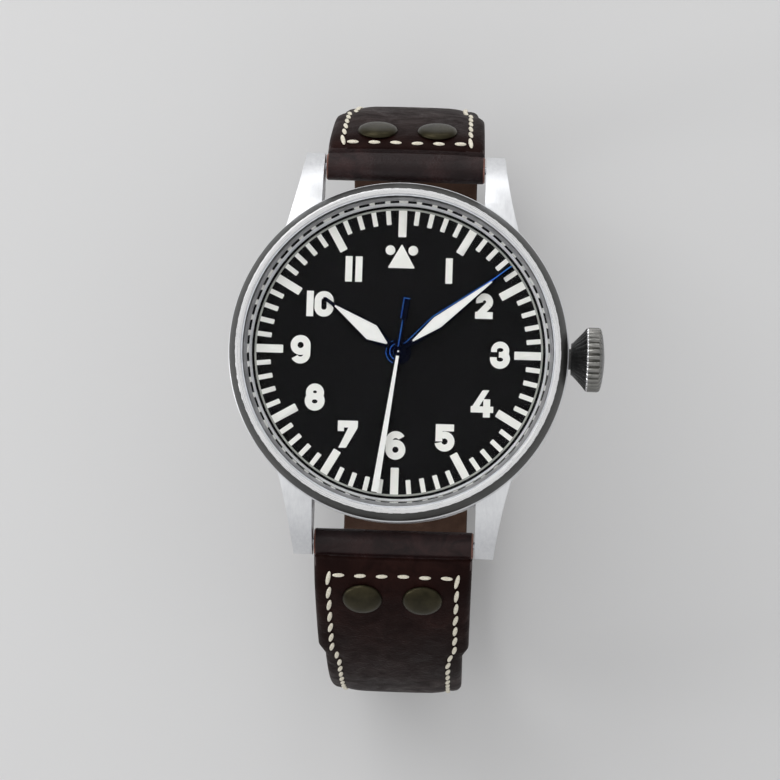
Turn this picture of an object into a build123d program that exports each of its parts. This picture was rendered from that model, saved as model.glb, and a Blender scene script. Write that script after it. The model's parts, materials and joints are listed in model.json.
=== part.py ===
from build123d import *
import math
import os

# A pilot watch on its buckled leather strap, in millimetres.
# The origin is the middle of the flat case back, on the axis of the hands.
# +Z points out through the dial, +Y to twelve o'clock and +X to the crown.
# The strap is closed below the watch, as it would be round a wrist.

# Fits that every piece shares.
turn_gap = 0.03
seat_gap = 0.02
strap_gap = 0.25
cut_over = 1.0
full_turn = 360

# Case middle and its four lugs.
case_radius = 21.0
case_wall = 2.6
case_top_z = 8.4
case_floor_z = 1.0
case_bore_radius = case_radius - case_wall
case_edge_break = 0.25
case_foot_break = 0.8
lug_gap = 20.2
lug_tip_width = 2.3
lug_reach = 4.1
lug_waist_reach = 0.4
lug_tip_y = case_radius + lug_reach
lug_waist_width = 2.85
lug_waist_y = case_radius + lug_waist_reach
lug_root_sink = 0.83
lug_root_turn = 42.4
lug_root_x = (case_radius - lug_root_sink) * math.cos(math.radians(lug_root_turn))
lug_root_y = (case_radius - lug_root_sink) * math.sin(math.radians(lug_root_turn))
lug_top_z = 8.2
lug_bend_y = lug_waist_y
lug_bend_z = 6.5
lug_nose_z = 3.0
lug_toe_z = 1.0
lug_heel_back = 0.7
lug_heel_y = lug_tip_y - lug_heel_back
lug_heel_z = 0.35
lug_hole_radius = 0.55
lug_hole_depth = 1.25

# The movement fills the case but for the ring that holds it. Its parts keep to one scale, since
# its wheels must mesh: a calibre is 1 mm across this movement.
holder_width = 5.6
plate_radius = case_bore_radius - holder_width
calibre = plate_radius / 12.8

# Bezel, crystal, rehaut and their gasket.
bezel_inset = 0.15
bezel_slope = 0.85
bezel_rim_width = 0.7
bezel_height = 2.3
bezel_radius = case_radius - bezel_inset
bezel_skirt = 0.45
bezel_rim_radius = bezel_radius - bezel_slope
bezel_top_z = case_top_z + bezel_height
crystal_gasket_wall = 0.2
crystal_radius = bezel_rim_radius - bezel_rim_width - crystal_gasket_wall
crystal_gasket_sink = 0.12
crystal_seat_height = 1.25
crystal_edge_height = 1.15
crystal_dome_height = 0.95
crystal_floor_z = case_top_z + crystal_seat_height
crystal_edge_z = crystal_floor_z + crystal_edge_height
crystal_crown_z = crystal_edge_z + crystal_dome_height
rehaut_ledge = 0.3
rehaut_lip_inset = 0.15
rehaut_foot_inset = 0.3
rehaut_radius = crystal_radius + rehaut_ledge
rehaut_foot_radius = case_bore_radius - rehaut_foot_inset
rehaut_lip_radius = crystal_radius - rehaut_lip_inset
rehaut_foot_height = 0.1

# Case back, screwed into the case, with notches for a key.
back_inset = 1.4
back_slope = 3.6
back_flange_radius = case_radius - back_inset
back_face_radius = back_flange_radius - back_slope
back_flange_edge = 0.45
back_floor = 1.1
back_thread_height = 1.0
back_wall = 0.85
back_notch_count = 6
back_notch_width = 2.6
back_notch_depth = 0.6
back_notch_reach = 1.2
back_notch_radius = back_flange_radius - back_notch_reach
back_line_inset = 2.6
back_line_radius = back_face_radius - back_line_inset
back_line_width = 0.3
back_line_depth = 0.15
back_gasket_ledge = 0.35
back_gasket_radius = case_bore_radius + back_gasket_ledge
back_gasket_wall = 0.5
back_gasket_height = 0.35

# Ring that centres the movement, with its two clamps.
holder_gap = 0.05
holder_wall_radius = plate_radius + holder_gap
holder_bottom_z = 2.45
clamp_thickness = 0.4
clamp_width = 3.0
clamp_reach = 0.4
clamp_screw_radius = 0.45
clamp_head_radius = 0.85
clamp_head_height = 0.3
clamp_screw_length = 1.8
clamp_screw_ring = (holder_wall_radius + case_bore_radius) / 2
clamp_nose = 1.3
clamp_inner_radius = clamp_screw_ring - clamp_nose
clamp_turns = (45, 225)

# Dial with its painted track, numerals and triangle.
dial_sink = 0.8
dial_top_z = case_top_z - dial_sink
dial_thickness = 0.4
dial_gap = 0.1
dial_radius = case_bore_radius - dial_gap
dial_hole_radius = 1.0
dial_foot_radius = 0.35
dial_foot_length = 0.8
dial_foot_inset = 0.8
dial_foot_ring = plate_radius - dial_foot_inset
dial_foot_turns = (80, 260)
paint_height = 0.05
track_inset = 0.13
track_radius = rehaut_foot_radius - track_inset
track_line = 0.35
minute_count = 60
five_minutes = 5
minute_tick_width = 0.6
minute_tick_length = 2.17
hour_tick_width = 1.0
hour_tick_length = 3.72
numeral_stroke = 0.85
numeral_height = 3.35
numeral_bar_height = 3.15
numeral_step = 1.24
bowl_radius = 1.23
small_bowl_radius = 1.12
two_radius = 1.05
two_turn = 38
two_hook_turn = 12
two_foot_share = 0.42
three_counter_width = 0.78
three_counter_height = 0.5
three_gap = 0.64
three_stub = 0.15
three_link = 0.25
eight_counter_width = 0.7
eight_counter_height = 0.5
eight_small_counter_width = 0.48
eight_small_counter_height = 0.35
counter_spread = 0.09
four_width = 2.78
four_slope_shares = ((-1, -0.38), (0.014, 1), (0.6, 1), (-0.26, -0.22), (-0.9, -0.62), (-1, -0.62))
four_bar_share = 0.65
four_thin_share = 0.9
four_post_share = 0.1
four_post_top_share = 0.34
five_hook_turn = 12
five_sweep_turn = 290
six_height = 3.52
six_end_turn = 30
seven_serif_share = 0.22
seven_slope_shares = ((0.08, 0.52), (1, 0.5), (-0.12, -1), (-0.88, -1))
zero_width = 2.35
ten_gap = 0.13
hour_step = 30
numeral_insets = (0, 6.17, 5.97, 5.47, 5.87, 5.97, 6.47, 6.07, 6.27, 5.87, 6.57, 6.27)
triangle_base = 3.37
triangle_inset = 7.57
triangle_height = 3.0
dot_rise = 2.2
triangle_base_ring = track_radius - triangle_inset
triangle_tip_ring = triangle_base_ring + triangle_height
dot_radius = 0.6
dot_side = 1.41
dot_ring = triangle_base_ring + dot_rise

# Hands, which stand at eight and a half minutes past ten.
hour_turn = 304.4
minute_turn = 51.4
seconds_turn = 187.7
hand_thickness = 0.2
lume_sink = 0.04
hand_over_dial = 0.45
hand_step = 0.37
hour_hand_z = dial_top_z + hand_over_dial
minute_hand_z = hour_hand_z + hand_step
seconds_step = 0.38
seconds_hand_z = minute_hand_z + seconds_step
hour_hub_radius = 1.58
hour_belly_ring = 4.07
hour_belly_width = 2.54
hour_lume_start = 1.75
hour_lume_width = 2.14
hour_neck_width = 0.9
hour_tip_width = 0.45
hour_needle = 1.4
hour_needle_gap = 0.3
hour_reach_gap = 6.47
hour_reach = track_radius - hour_reach_gap
hour_tip_start = hour_reach - hour_needle
hour_lume_end = hour_tip_start - hour_needle_gap
minute_hub_radius = 1.1
minute_belly_ring = 6.0
minute_belly_width = 2.0
minute_lume_start = 2.2
minute_lume_width = 1.5
minute_neck_width = 0.8
minute_tip_width = 0.42
minute_needle = 2.7
minute_needle_gap = 0.5
minute_reach_gap = 0.37
minute_reach = track_radius - minute_reach_gap
minute_tip_start = minute_reach - minute_needle
minute_lume_end = minute_tip_start - minute_needle_gap
hand_point = 0.3
hub_join_share = 0.85
lume_end_width = 0.2
seconds_hub_radius = 0.63
seconds_pipe_radius = 0.28
seconds_pipe_rise = 0.1
seconds_thickness = 0.12
seconds_paint = 0.04
seconds_root_width = 0.36
seconds_end_width = 0.87
seconds_reach_gap = 0.47
seconds_reach = track_radius - seconds_reach_gap
seconds_tail_width = 0.35
seconds_tail_length = 4.0
seconds_weight_width = 0.85
seconds_weight_length = 2.7
seconds_weight_end = seconds_tail_length + seconds_weight_length

# Arbors that pass through the middle of the movement.
seconds_arbor_radius = 0.12 * calibre
centre_arbor_bore = 0.15 * calibre
centre_arbor_radius = 0.28 * calibre
cannon_radius = 0.45 * calibre
hour_tube_bore = 0.5 * calibre
hour_tube_radius = 0.72 * calibre

# Main plate and bridges.
plate_floor_z = 5.3
plate_deck_z = 6.15
plate_dial_rim_radius = 11.2 * calibre
plate_back_rim_radius = 12.05 * calibre
bridge_bottom_z = 2.6
bridge_top_z = 3.3
bridge_split_near = 0.9 * calibre
bridge_split_far = 1.2 * calibre
cock_width = 4.0 * calibre
cock_gap = 0.2 * calibre
cock_overhang = 1.6 * calibre
balance_window_radius = 3.6 * calibre
bridge_screw_ring = 12.3 * calibre
bridge_screw_radius = 0.25 * calibre
bridge_screw_head = 0.45 * calibre
bridge_screw_height = 0.3
bridge_screw_length = 1.6
bridge_screw_turns = (12, 60, 108, 150, 200, 240, 285)
jewel_radius = 0.55 * calibre
jewel_thickness = 0.3
pivot_radius = 0.09 * calibre
staff_radius = 0.2 * calibre

# Wheels: tooth counts, modules and levels.
tooth_top_share = 0.9
tooth_root_share = 1.15
tooth_tip_half_share = 0.11
tooth_foot_half_share = 0.3
wheel_thickness = 0.15
pinion_length = 0.4
barrel_distance = 6.3 * calibre
barrel_direction = 60
barrel_teeth = 96
centre_pinion_teeth = 12
centre_teeth = 80
third_pinion_teeth = 10
third_teeth = 75
third_direction = 240
seconds_pinion_teeth = 10
seconds_teeth = 96
seconds_module = 0.085 * calibre
centre_module = 0.1 * calibre
escape_pinion_teeth = 8
escape_direction = 178
escape_teeth = 15
escape_radius = 2.2 * calibre
escape_root_radius = 1.7 * calibre
escape_rim_radius = 1.4 * calibre
escape_tip_shares = (0.1, 0.25)
escape_heel_share = 0.5
centre_wheel_z = 4.95
third_wheel_z = 4.15
seconds_wheel_z = 3.7
escape_wheel_z = 4.5
spoke_count = 4
spoke_width = 0.35 * calibre
rim_wall = 0.35 * calibre
hub_radius = 0.55 * calibre

# Barrel with its spring and arbor.
drum_radius = 5.2 * calibre
drum_wall = 0.2 * calibre
drum_bottom_z = 3.95
drum_top_z = 4.8
drum_cover = 0.12
drum_teeth_height = 0.3
barrel_arbor_radius = 0.5 * calibre
barrel_hub_radius = 1.1 * calibre
barrel_arbor_top_z = 5.65
mainspring_start = 1.4 * calibre
mainspring_step = 0.5 * calibre
mainspring_thickness = 0.12 * calibre
mainspring_half_turns = 13

# Balance, hairspring and pallet fork.
balance_distance = 8.0 * calibre
balance_direction = 150
balance_radius = 3.9 * calibre
balance_rim = 0.4 * calibre
balance_bottom_z = 3.95
balance_height = 0.35
balance_arm_width = 0.5 * calibre
balance_staff_radius = 0.15 * calibre
roller_radius = 0.55 * calibre
roller_bottom_z = 4.4
roller_height = 0.35
hairspring_z = 3.5
hairspring_height = 0.14
hairspring_thickness = 0.05 * calibre
hairspring_start = 0.6 * calibre
hairspring_step = 0.25 * calibre
hairspring_half_turns = 15
fork_pivot_distance = 2.65 * calibre
fork_z = 4.48
fork_thickness = 0.2
fork_lever_width = 0.35 * calibre
fork_end_gap = 0.15 * calibre
fork_arm_width = 0.3 * calibre
pallet_spread = 35
pallet_gap = 0.22 * calibre
pallet_size = 0.25 * calibre
pallet_arm_width = 0.2 * calibre

# Motion works under the dial.
cannon_teeth = 12
minute_wheel_teeth = 36
minute_pinion_teeth = 10
hour_wheel_teeth = 40
motion_distance = 2.4 * calibre
cannon_leaf_z = 6.2
cannon_leaf_height = 0.35
minute_wheel_z = 6.3
minute_pinion_z = 6.45
minute_pinion_height = 0.5
hour_wheel_z = 6.65
motion_wheel_thickness = 0.15
minute_post_radius = 0.2 * calibre

# Winding works, from the ratchet wheel out to the crown.
ratchet_teeth = 54
crown_wheel_teeth = 42
winding_module = 0.1334 * calibre
winding_wheel_z = 2.2
winding_wheel_thickness = 0.35
crown_wheel_post = 0.47 * calibre
crown_wheel_head = 0.95 * calibre
crown_wheel_head_height = 0.1
stem_z = 4.6
stem_radius = 0.6
stem_square = 0.8
stem_pilot_radius = 0.35
stem_pilot_x = 7.6 * calibre
stem_square_start = 8.3 * calibre
stem_square_end = 12.0 * calibre
stem_thread_radius = 0.5
pinion_start_x = 8.3 * calibre
pinion_width = 1.25 * calibre
pinion_teeth = 18
pinion_module = 0.17
pinion_bore = 0.62
clutch_start_x = 9.7 * calibre
clutch_width = 1.9 * calibre
clutch_radius = 1.3
clutch_groove_radius = 0.95
clutch_groove_width = 0.5 * calibre
slot_half_width = 1.95
slot_start_x = 7.7 * calibre
stem_bore = 0.7

# Crown and its tube.
tube_radius = 1.3
tube_bore = 0.8
tube_sink = 0.05
tube_stand = 1.3
tube_start_x = case_bore_radius + tube_sink
tube_end_x = case_radius + tube_stand
crown_gap = 0.3
crown_throat_length = 2.0
crown_rim_length = 1.7
crown_dome_height = 0.45
crown_recess_length = 1.7
crown_start_x = case_radius + crown_gap
crown_throat_radius = 1.95
crown_shoulder_x = crown_start_x + crown_throat_length
crown_radius = 4.0
crown_edge_x = crown_shoulder_x + crown_rim_length
crown_dome_x = crown_edge_x + crown_dome_height
crown_dome_share = 0.75
crown_edge_break = 0.35
crown_recess_radius = 1.62
crown_recess_x = crown_start_x + crown_recess_length
crown_flutes = 30
crown_flute_width = 0.32
crown_flute_depth = 0.3
crown_throat_depth = 0.12
crown_gasket_stand = 0.6
crown_gasket_x = crown_start_x + crown_gasket_stand
crown_gasket_width = 0.35
stem_in_crown = 0.9
stem_end_x = crown_shoulder_x + stem_in_crown

# Winding rotor under the bridges.
rotor_radius = 12.3 * calibre
rotor_plate_z = 1.45
rotor_plate = 0.3
rotor_rim_radius = 10.9 * calibre
rotor_rim_bottom_z = 1.3
rotor_rim_top_z = 2.0
rotor_hub_radius = 2.6 * calibre
rotor_window_inner = 4.6 * calibre
rotor_window_outer = 9.6 * calibre
rotor_window_turn = 26
rotor_window_turns = (225, 270, 315)
bearing_radius = 1.2 * calibre
bearing_flange = 1.65 * calibre
bearing_bottom_z = 1.2
bearing_flange_gap = 0.04

# Spring bars.
bar_inset = 1.6
bar_y = lug_tip_y - bar_inset
bar_z = 2.4
bar_tube_radius = 0.75
bar_tube_gap = 0.3
bar_pin_sink = 1.1
bar_tube_reach = lug_gap / 2 - bar_tube_gap
bar_pin_radius = 0.5
bar_pin_reach = lug_gap / 2 + bar_pin_sink
bar_flange_radius = 0.9
bar_flange_width = 0.3
bar_hole_radius = 1.0

# Strap: thickness, width and route of its outer face, from the roll round each bar.
roll_radius = 1.7
strap_roll_thickness = 3.4
strap_body_thickness = 3.2
strap_end_thickness = 2.4
tail_thickness = 2.2
lining_thickness = 0.8
strap_side_gap = 0.2
shoulder_taper = 0.6
waist_notch = 1.6
end_taper = 0.6
strap_lug_width = lug_gap - 2 * strap_side_gap
strap_shoulder_width = strap_lug_width - shoulder_taper
strap_waist_width = strap_shoulder_width - waist_notch
strap_end_width = strap_waist_width - end_taper
shoulder_along = 16.5
waist_along = 19.0
thin_along = 56.0
tail_taper = 9.0
tail_shares = ((0, 1), (0.4, 0.94), (0.7, 0.77), (0.9, 0.54), (1, 0.32))
station_step = 3.0
short_start_turn = 10
short_bend_turn = 53
short_bend_radius = 6.9
short_side_turn = 27
short_side_radius = 60.0
short_drop = 5.6
corner_radius = 15.0
long_start_turn = 5
long_bend_turn = 44
long_bend_radius = 10.4
long_side_turn = 41
long_corner_radius = 15.4
quarter_turn = 90
cross_lead = 12.4
cross_length = 11.2
short_flat = 16.18
tail_wrap_turn = 34

# Rivets through the strap, and the holes punched in its long half.
rivet_radius = 2.5
rivet_rise = 0.7
rivet_side = 3.75
rivet_shank_radius = 0.9
short_rivet_along = 6.5
long_rivet_along = 8.0
rivet_shank_length = 3.05
hole_radius = 1.15
hole_pitch = 6.5
hole_count_inner = 3
hole_count_outer = 3
used_hole_lead = 5.36
used_hole_length = 8.5

# Buckle, its bar and tongue.
buckle_bar_radius = 0.6
buckle_arm = 1.6
buckle_front_lead = 13.9
buckle_front_depth = 2.8
buckle_front_break = 0.7
buckle_eye_radius = 1.35
tongue_width = 1.9
tongue_thickness = 1.0
tongue_eye_radius = 1.15
tongue_slot_gap = 0.25
tongue_length = 16.2
tongue_lift = 0.05
tongue_slot_length = 2.6

# Keepers that hold the tail down.
keeper_wall = 0.95
keeper_side_gap = 0.3
keeper_slack = 0.1
keeper_length = 4.5
fixed_keeper_lead = 2.19
free_keeper_lead = 7.39
free_keeper_lift = 0.05


# Small builders.
def disc(radius, bottom, top):
    return Pos(0, 0, (bottom + top) / 2) * Cylinder(radius, top - bottom)


def ring(outer, inner, bottom, top):
    bore = Pos(0, 0, (bottom + top) / 2) * Cylinder(inner, top - bottom + cut_over)
    return disc(outer, bottom, top) - bore


def rod_along_x(radius, start, end, y, z):
    return Pos((start + end) / 2, y, z) * Rot(0, 90, 0) * Cylinder(radius, end - start)


def block(x_low, x_high, y_low, y_high, z_low, z_high):
    centre = Pos((x_low + x_high) / 2, (y_low + y_high) / 2, (z_low + z_high) / 2)
    return centre * Box(x_high - x_low, y_high - y_low, z_high - z_low)


def slab(face, bottom, top):
    return Pos(0, 0, bottom) * extrude(face, top - bottom)


def flat(*points):
    return make_face(Polyline(*points, close=True))


def side_face(line):
    return Plane.YZ * make_face(line)


def turned(points):
    return revolve(Plane.XZ * make_face(Polyline(*points, close=True)), Axis.Z)


def polar(distance, direction):
    angle = math.radians(direction)
    return (distance * math.cos(angle), distance * math.sin(angle))


def placed(shape, spot):
    return Pos(spot[0], spot[1], 0) * shape


def round_the_dial(shape, turn):
    return Rot(0, 0, -turn) * shape


def solids_of(shapes):
    return Compound(children=[solid for shape in shapes for solid in shape.solids()])


# A wheel outline with straight flanked teeth: the first tooth points along the turn given.
def toothed_face(teeth, module, first_turn):
    pitch_radius = module * teeth / 2
    tip_radius = pitch_radius + module * tooth_top_share
    root_radius = pitch_radius - module * tooth_root_share
    pitch_turn = full_turn / teeth
    points = []
    for tooth in range(teeth):
        middle = first_turn + tooth * pitch_turn
        points.append(polar(root_radius, middle - tooth_foot_half_share * pitch_turn))
        points.append(polar(tip_radius, middle - tooth_tip_half_share * pitch_turn))
        points.append(polar(tip_radius, middle + tooth_tip_half_share * pitch_turn))
        points.append(polar(root_radius, middle + tooth_foot_half_share * pitch_turn))
    return flat(*points)


# The first tooth of a wheel that meets, from the far side, a tooth that points along the line.
def answering_turn(line_turn, teeth):
    return line_turn + full_turn / 2 + full_turn / teeth / 2


def spoked(face, root_radius, hole_radius):
    web = Circle(root_radius - rim_wall) - Circle(hub_radius)
    for spoke in range(spoke_count):
        turn = spoke * full_turn / spoke_count
        web -= Rot(0, 0, turn) * Pos(root_radius / 2, 0) * Rectangle(root_radius, spoke_width)
    return face - web - Circle(hole_radius)


def root_of(teeth, module):
    return module * teeth / 2 - module * tooth_root_share


# Case.
def case_profile():
    edge_top = case_top_z - case_edge_break
    return [
        (case_bore_radius, case_floor_z),
        (case_radius - case_foot_break, case_floor_z),
        (case_radius, case_floor_z + case_foot_break),
        (case_radius, edge_top),
        (case_radius - case_edge_break, case_top_z),
        (rehaut_radius + seat_gap, case_top_z),
        (rehaut_radius + seat_gap, dial_top_z),
        (case_bore_radius, dial_top_z),
    ]


def lug():
    inner = lug_gap / 2
    outer_edge = ThreePointArc(
        (inner + lug_tip_width, lug_tip_y), (inner + lug_waist_width, lug_waist_y), (lug_root_x, lug_root_y)
    )
    plan = make_face(
        outer_edge + Polyline((lug_root_x, lug_root_y), (inner, lug_root_y), (inner, lug_tip_y))
        + Line((inner, lug_tip_y), (inner + lug_tip_width, lug_tip_y))
    )
    start = (lug_root_y + cut_over, lug_top_z)
    top = ThreePointArc(start, (lug_bend_y, lug_bend_z), (lug_tip_y, lug_nose_z))
    rest = Polyline(
        (lug_tip_y, lug_nose_z), (lug_tip_y, lug_toe_z), (lug_heel_y, lug_heel_z),
        (lug_root_y, case_floor_z), (lug_root_y, lug_top_z), start,
    )
    side = extrude(side_face(top + rest), lug_root_x + cut_over)
    shape = slab(plan, 0, case_top_z) & side
    hole = rod_along_x(lug_hole_radius, inner - cut_over, inner + lug_hole_depth, bar_y, bar_z)
    return shape - hole


def case_middle():
    one_lug = lug()
    right = one_lug + mirror(one_lug, Plane.XZ)
    body = turned(case_profile()) + right + mirror(right, Plane.YZ)
    body -= disc(back_flange_radius + seat_gap, 0, case_floor_z)
    body -= disc(case_bore_radius, 0, dial_top_z)
    body -= disc(rehaut_radius + seat_gap, dial_top_z, case_top_z)
    body -= rod_along_x(tube_radius, case_bore_radius - cut_over, case_radius + cut_over, 0, stem_z)
    groove_top = holder_bottom_z + seat_gap
    groove_bottom = groove_top - clamp_thickness - 2 * seat_gap
    groove_radius = case_bore_radius + clamp_reach + seat_gap
    body -= ring(groove_radius, case_bore_radius - seat_gap, groove_bottom, groove_top)
    gasket_outer = back_gasket_radius + back_gasket_wall
    body -= ring(gasket_outer, back_gasket_radius, case_floor_z, case_floor_z + back_gasket_height)
    return body


def bezel():
    seat = rehaut_radius + seat_gap
    gasket_outer = crystal_radius + crystal_gasket_wall
    return turned([
        (seat, case_top_z),
        (bezel_radius, case_top_z),
        (bezel_radius, case_top_z + bezel_skirt),
        (bezel_rim_radius, bezel_top_z),
        (gasket_outer, bezel_top_z),
        (gasket_outer, crystal_floor_z),
        (seat, crystal_floor_z),
    ])


def rehaut_ring():
    return turned([
        (rehaut_foot_radius, dial_top_z),
        (rehaut_radius, dial_top_z),
        (rehaut_radius, crystal_floor_z),
        (rehaut_lip_radius, crystal_floor_z),
        (rehaut_foot_radius, dial_top_z + rehaut_foot_height),
    ])


def crystal():
    rise = crystal_crown_z - crystal_edge_z
    dome_radius = (crystal_radius ** 2 + rise ** 2) / (2 * rise)
    dome = Pos(0, 0, crystal_crown_z - dome_radius) * Sphere(dome_radius)
    return disc(crystal_radius, crystal_floor_z, crystal_crown_z) & dome


def crystal_gasket():
    outer = crystal_radius + crystal_gasket_wall
    return ring(outer, crystal_radius, crystal_floor_z, bezel_top_z - crystal_gasket_sink)


def caseback():
    thread = case_bore_radius - seat_gap
    top = case_floor_z + back_thread_height
    body = turned([
        (0, 0),
        (back_face_radius, 0),
        (back_flange_radius, case_floor_z - back_flange_edge),
        (back_flange_radius, case_floor_z),
        (thread, case_floor_z),
        (thread, top),
        (thread - back_wall, top),
        (thread - back_wall, back_floor),
        (0, back_floor),
    ])
    for notch in range(back_notch_count):
        turn = notch * full_turn / back_notch_count
        cut = block(
            back_notch_radius - back_notch_width / 2, back_flange_radius + cut_over,
            -back_notch_width / 2, back_notch_width / 2, -cut_over, back_notch_depth,
        )
        body -= Rot(0, 0, turn) * cut
    line = ring(back_line_radius + back_line_width, back_line_radius, -cut_over, back_line_depth)
    return body - line


def caseback_gasket():
    outer = back_gasket_radius + back_gasket_wall
    return ring(outer, back_gasket_radius, case_floor_z, case_floor_z + back_gasket_height)


# Dial side.
def dial():
    bottom = dial_top_z - dial_thickness
    body = ring(dial_radius, dial_hole_radius, bottom, dial_top_z)
    for turn in dial_foot_turns:
        foot = disc(dial_foot_radius, bottom - dial_foot_length, bottom)
        body += placed(foot, polar(dial_foot_ring, turn))
    return body


def tick(width, length):
    start = track_radius - length
    end = track_radius - track_line / 2
    return Pos(0, (start + end) / 2) * Rectangle(width, end - start)


def minute_track():
    face = Circle(track_radius) - Circle(track_radius - track_line)
    for minute in range(minute_count):
        if minute % five_minutes == 0:
            mark = tick(hour_tick_width, hour_tick_length)
        else:
            mark = tick(minute_tick_width, minute_tick_length)
        face += round_the_dial(mark, minute * full_turn / minute_count)
    return slab(face, dial_top_z, dial_top_z + paint_height)


# One painted arc, given by its outer radius, with the stroke inside it.
def arc_stroke(x, y, outer, start, sweep):
    return trace(CenterArc((x, y), outer - numeral_stroke / 2, start, sweep), numeral_stroke)


def box_face(x_low, x_high, y_low, y_high):
    return Pos((x_low + x_high) / 2, (y_low + y_high) / 2) * Rectangle(x_high - x_low, y_high - y_low)


def scaled_face(shares, across, up):
    return flat(*[(x * across, y * up) for x, y in shares])


def ring_face(y, outer):
    return Pos(0, y) * (Circle(outer) - Circle(outer - numeral_stroke))


def numeral_bar():
    return Rectangle(numeral_stroke, numeral_bar_height)


def numeral_two():
    up = numeral_bar_height / 2
    top = up - two_radius
    face = arc_stroke(0, top, two_radius, -two_turn, two_turn + quarter_turn * 2 + two_hook_turn)
    middle = two_radius - numeral_stroke / 2
    start_x, start_y = polar(middle, -two_turn)
    foot = (-two_radius + numeral_stroke * two_foot_share, -up + numeral_stroke / 2)
    face += trace(Line((start_x, top + start_y), foot), numeral_stroke)
    return face + box_face(-small_bowl_radius, two_radius, -up, -up + numeral_stroke)


def counter_heights():
    # each counter sits a little outward of the centre of its bowl
    up = numeral_height / 2
    return up - small_bowl_radius + counter_spread, -up + bowl_radius - counter_spread


def oval_face(y, width, height):
    return Pos(0, y) * Ellipse(width / 2, height / 2)


def bowl_pair():
    up = numeral_height / 2
    upper = Pos(0, up - small_bowl_radius) * Circle(small_bowl_radius)
    return upper + Pos(0, -up + bowl_radius) * Circle(bowl_radius)


def numeral_three():
    high, low = counter_heights()
    waist = (high + low) / 2
    face = bowl_pair() - oval_face(high, three_counter_width, three_counter_height)
    face -= oval_face(low, three_counter_width, three_counter_height)
    face -= box_face(-bowl_radius, -three_stub, waist - three_gap / 2, waist + three_gap / 2)
    return face - box_face(-three_stub - three_link, -three_stub, low, high)


def numeral_four():
    across = four_width / 2
    up = numeral_height / 2
    face = scaled_face(four_slope_shares, across, up)
    bar_low = -up * four_bar_share
    face += box_face(-across, across, bar_low, bar_low + numeral_stroke * four_thin_share)
    post = across * four_post_share
    return face + box_face(post, post + numeral_stroke, -up, up * four_post_top_share)


def numeral_five():
    up = numeral_height / 2
    middle = -up + bowl_radius
    left = -small_bowl_radius
    face = arc_stroke(0, middle, bowl_radius, quarter_turn * 2 + five_hook_turn, five_sweep_turn)
    face += box_face(left, -left, up - numeral_stroke, up)
    return face + box_face(left, left + numeral_stroke, middle, up)


def numeral_six():
    up = six_height / 2
    low = -up + bowl_radius
    high = up - bowl_radius
    face = ring_face(low, bowl_radius) + box_face(-bowl_radius, -bowl_radius + numeral_stroke, low, high)
    return face + arc_stroke(0, high, bowl_radius, six_end_turn, quarter_turn * 2 - six_end_turn)


def numeral_seven():
    up = numeral_height / 2
    serif = -bowl_radius + numeral_stroke * four_thin_share
    face = box_face(-bowl_radius, bowl_radius, up - numeral_stroke, up)
    face += box_face(-bowl_radius, serif, up * seven_serif_share, up)
    return face + scaled_face(seven_slope_shares, bowl_radius, up)


def numeral_eight():
    high, low = counter_heights()
    face = bowl_pair() - oval_face(high, eight_small_counter_width, eight_small_counter_height)
    return face - oval_face(low, eight_counter_width, eight_counter_height)


def numeral_ten():
    zero = RectangleRounded(zero_width, numeral_bar_height, zero_width / 2 - seat_gap)
    inner_width = zero_width - 2 * numeral_stroke
    inner_height = numeral_bar_height - 2 * numeral_stroke
    zero -= RectangleRounded(inner_width, inner_height, inner_width / 2 - seat_gap)
    pair = numeral_stroke + ten_gap + zero_width
    bar_x = -pair / 2 + numeral_stroke / 2
    return Pos(bar_x, 0) * numeral_bar() + Pos(pair / 2 - zero_width / 2, 0) * zero


def numeral_eleven():
    half = numeral_step / 2
    return Pos(-half, 0) * numeral_bar() + Pos(half, 0) * numeral_bar()


def numeral_faces():
    nine = Rot(0, 0, full_turn / 2) * numeral_six()
    return [
        None, numeral_bar(), numeral_two(), numeral_three(), numeral_four(), numeral_five(),
        numeral_six(), numeral_seven(), numeral_eight(), nine, numeral_ten(), numeral_eleven(),
    ]


def numerals():
    shapes = []
    for hour, face in enumerate(numeral_faces()):
        if face is not None:
            x, y = polar(track_radius - numeral_insets[hour], quarter_turn - hour * hour_step)
            shapes.append(slab(Pos(x, y) * face, dial_top_z, dial_top_z + paint_height))
    return solids_of(shapes)


def triangle_marker():
    half = triangle_base / 2
    face = flat((-half, triangle_base_ring), (half, triangle_base_ring), (0, triangle_tip_ring))
    for side in (-1, 1):
        face += Pos(side * dot_side, dot_ring) * Circle(dot_radius)
    return slab(face, dial_top_z, dial_top_z + paint_height)


# A hand outline from its half widths up one side, closed down the other.
def hand_outline(sides, point):
    right = [(width / 2, reach) for width, reach in sides]
    left = [(-x, reach) for x, reach in reversed(right)]
    return flat(*right, (0, point), *left) if point else flat(*right, *left)


def lume_face(start, belly, width, end):
    return flat(
        (lume_end_width / 2, start), (width / 2, belly), (lume_end_width / 2, end),
        (-lume_end_width / 2, end), (-width / 2, belly), (-lume_end_width / 2, start),
    )


def hour_faces():
    outline = hand_outline([
        (hour_neck_width, 0), (hour_neck_width, hour_hub_radius * hub_join_share),
        (hour_belly_width, hour_belly_ring),
        (hour_tip_width, hour_tip_start), (hour_tip_width, hour_reach - hand_point),
    ], hour_reach)
    lume = lume_face(hour_lume_start, hour_belly_ring, hour_lume_width, hour_lume_end)
    hub = Circle(hour_hub_radius)
    return outline + hub - lume - Circle(hour_tube_radius), lume


def minute_faces():
    outline = hand_outline([
        (minute_neck_width, 0), (minute_neck_width, minute_hub_radius * hub_join_share),
        (minute_belly_width, minute_belly_ring),
        (minute_tip_width, minute_tip_start), (minute_tip_width, minute_reach - hand_point),
    ], minute_reach)
    lume = lume_face(minute_lume_start, minute_belly_ring, minute_lume_width, minute_lume_end)
    return outline + Circle(minute_hub_radius) - lume - Circle(cannon_radius), lume


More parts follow.
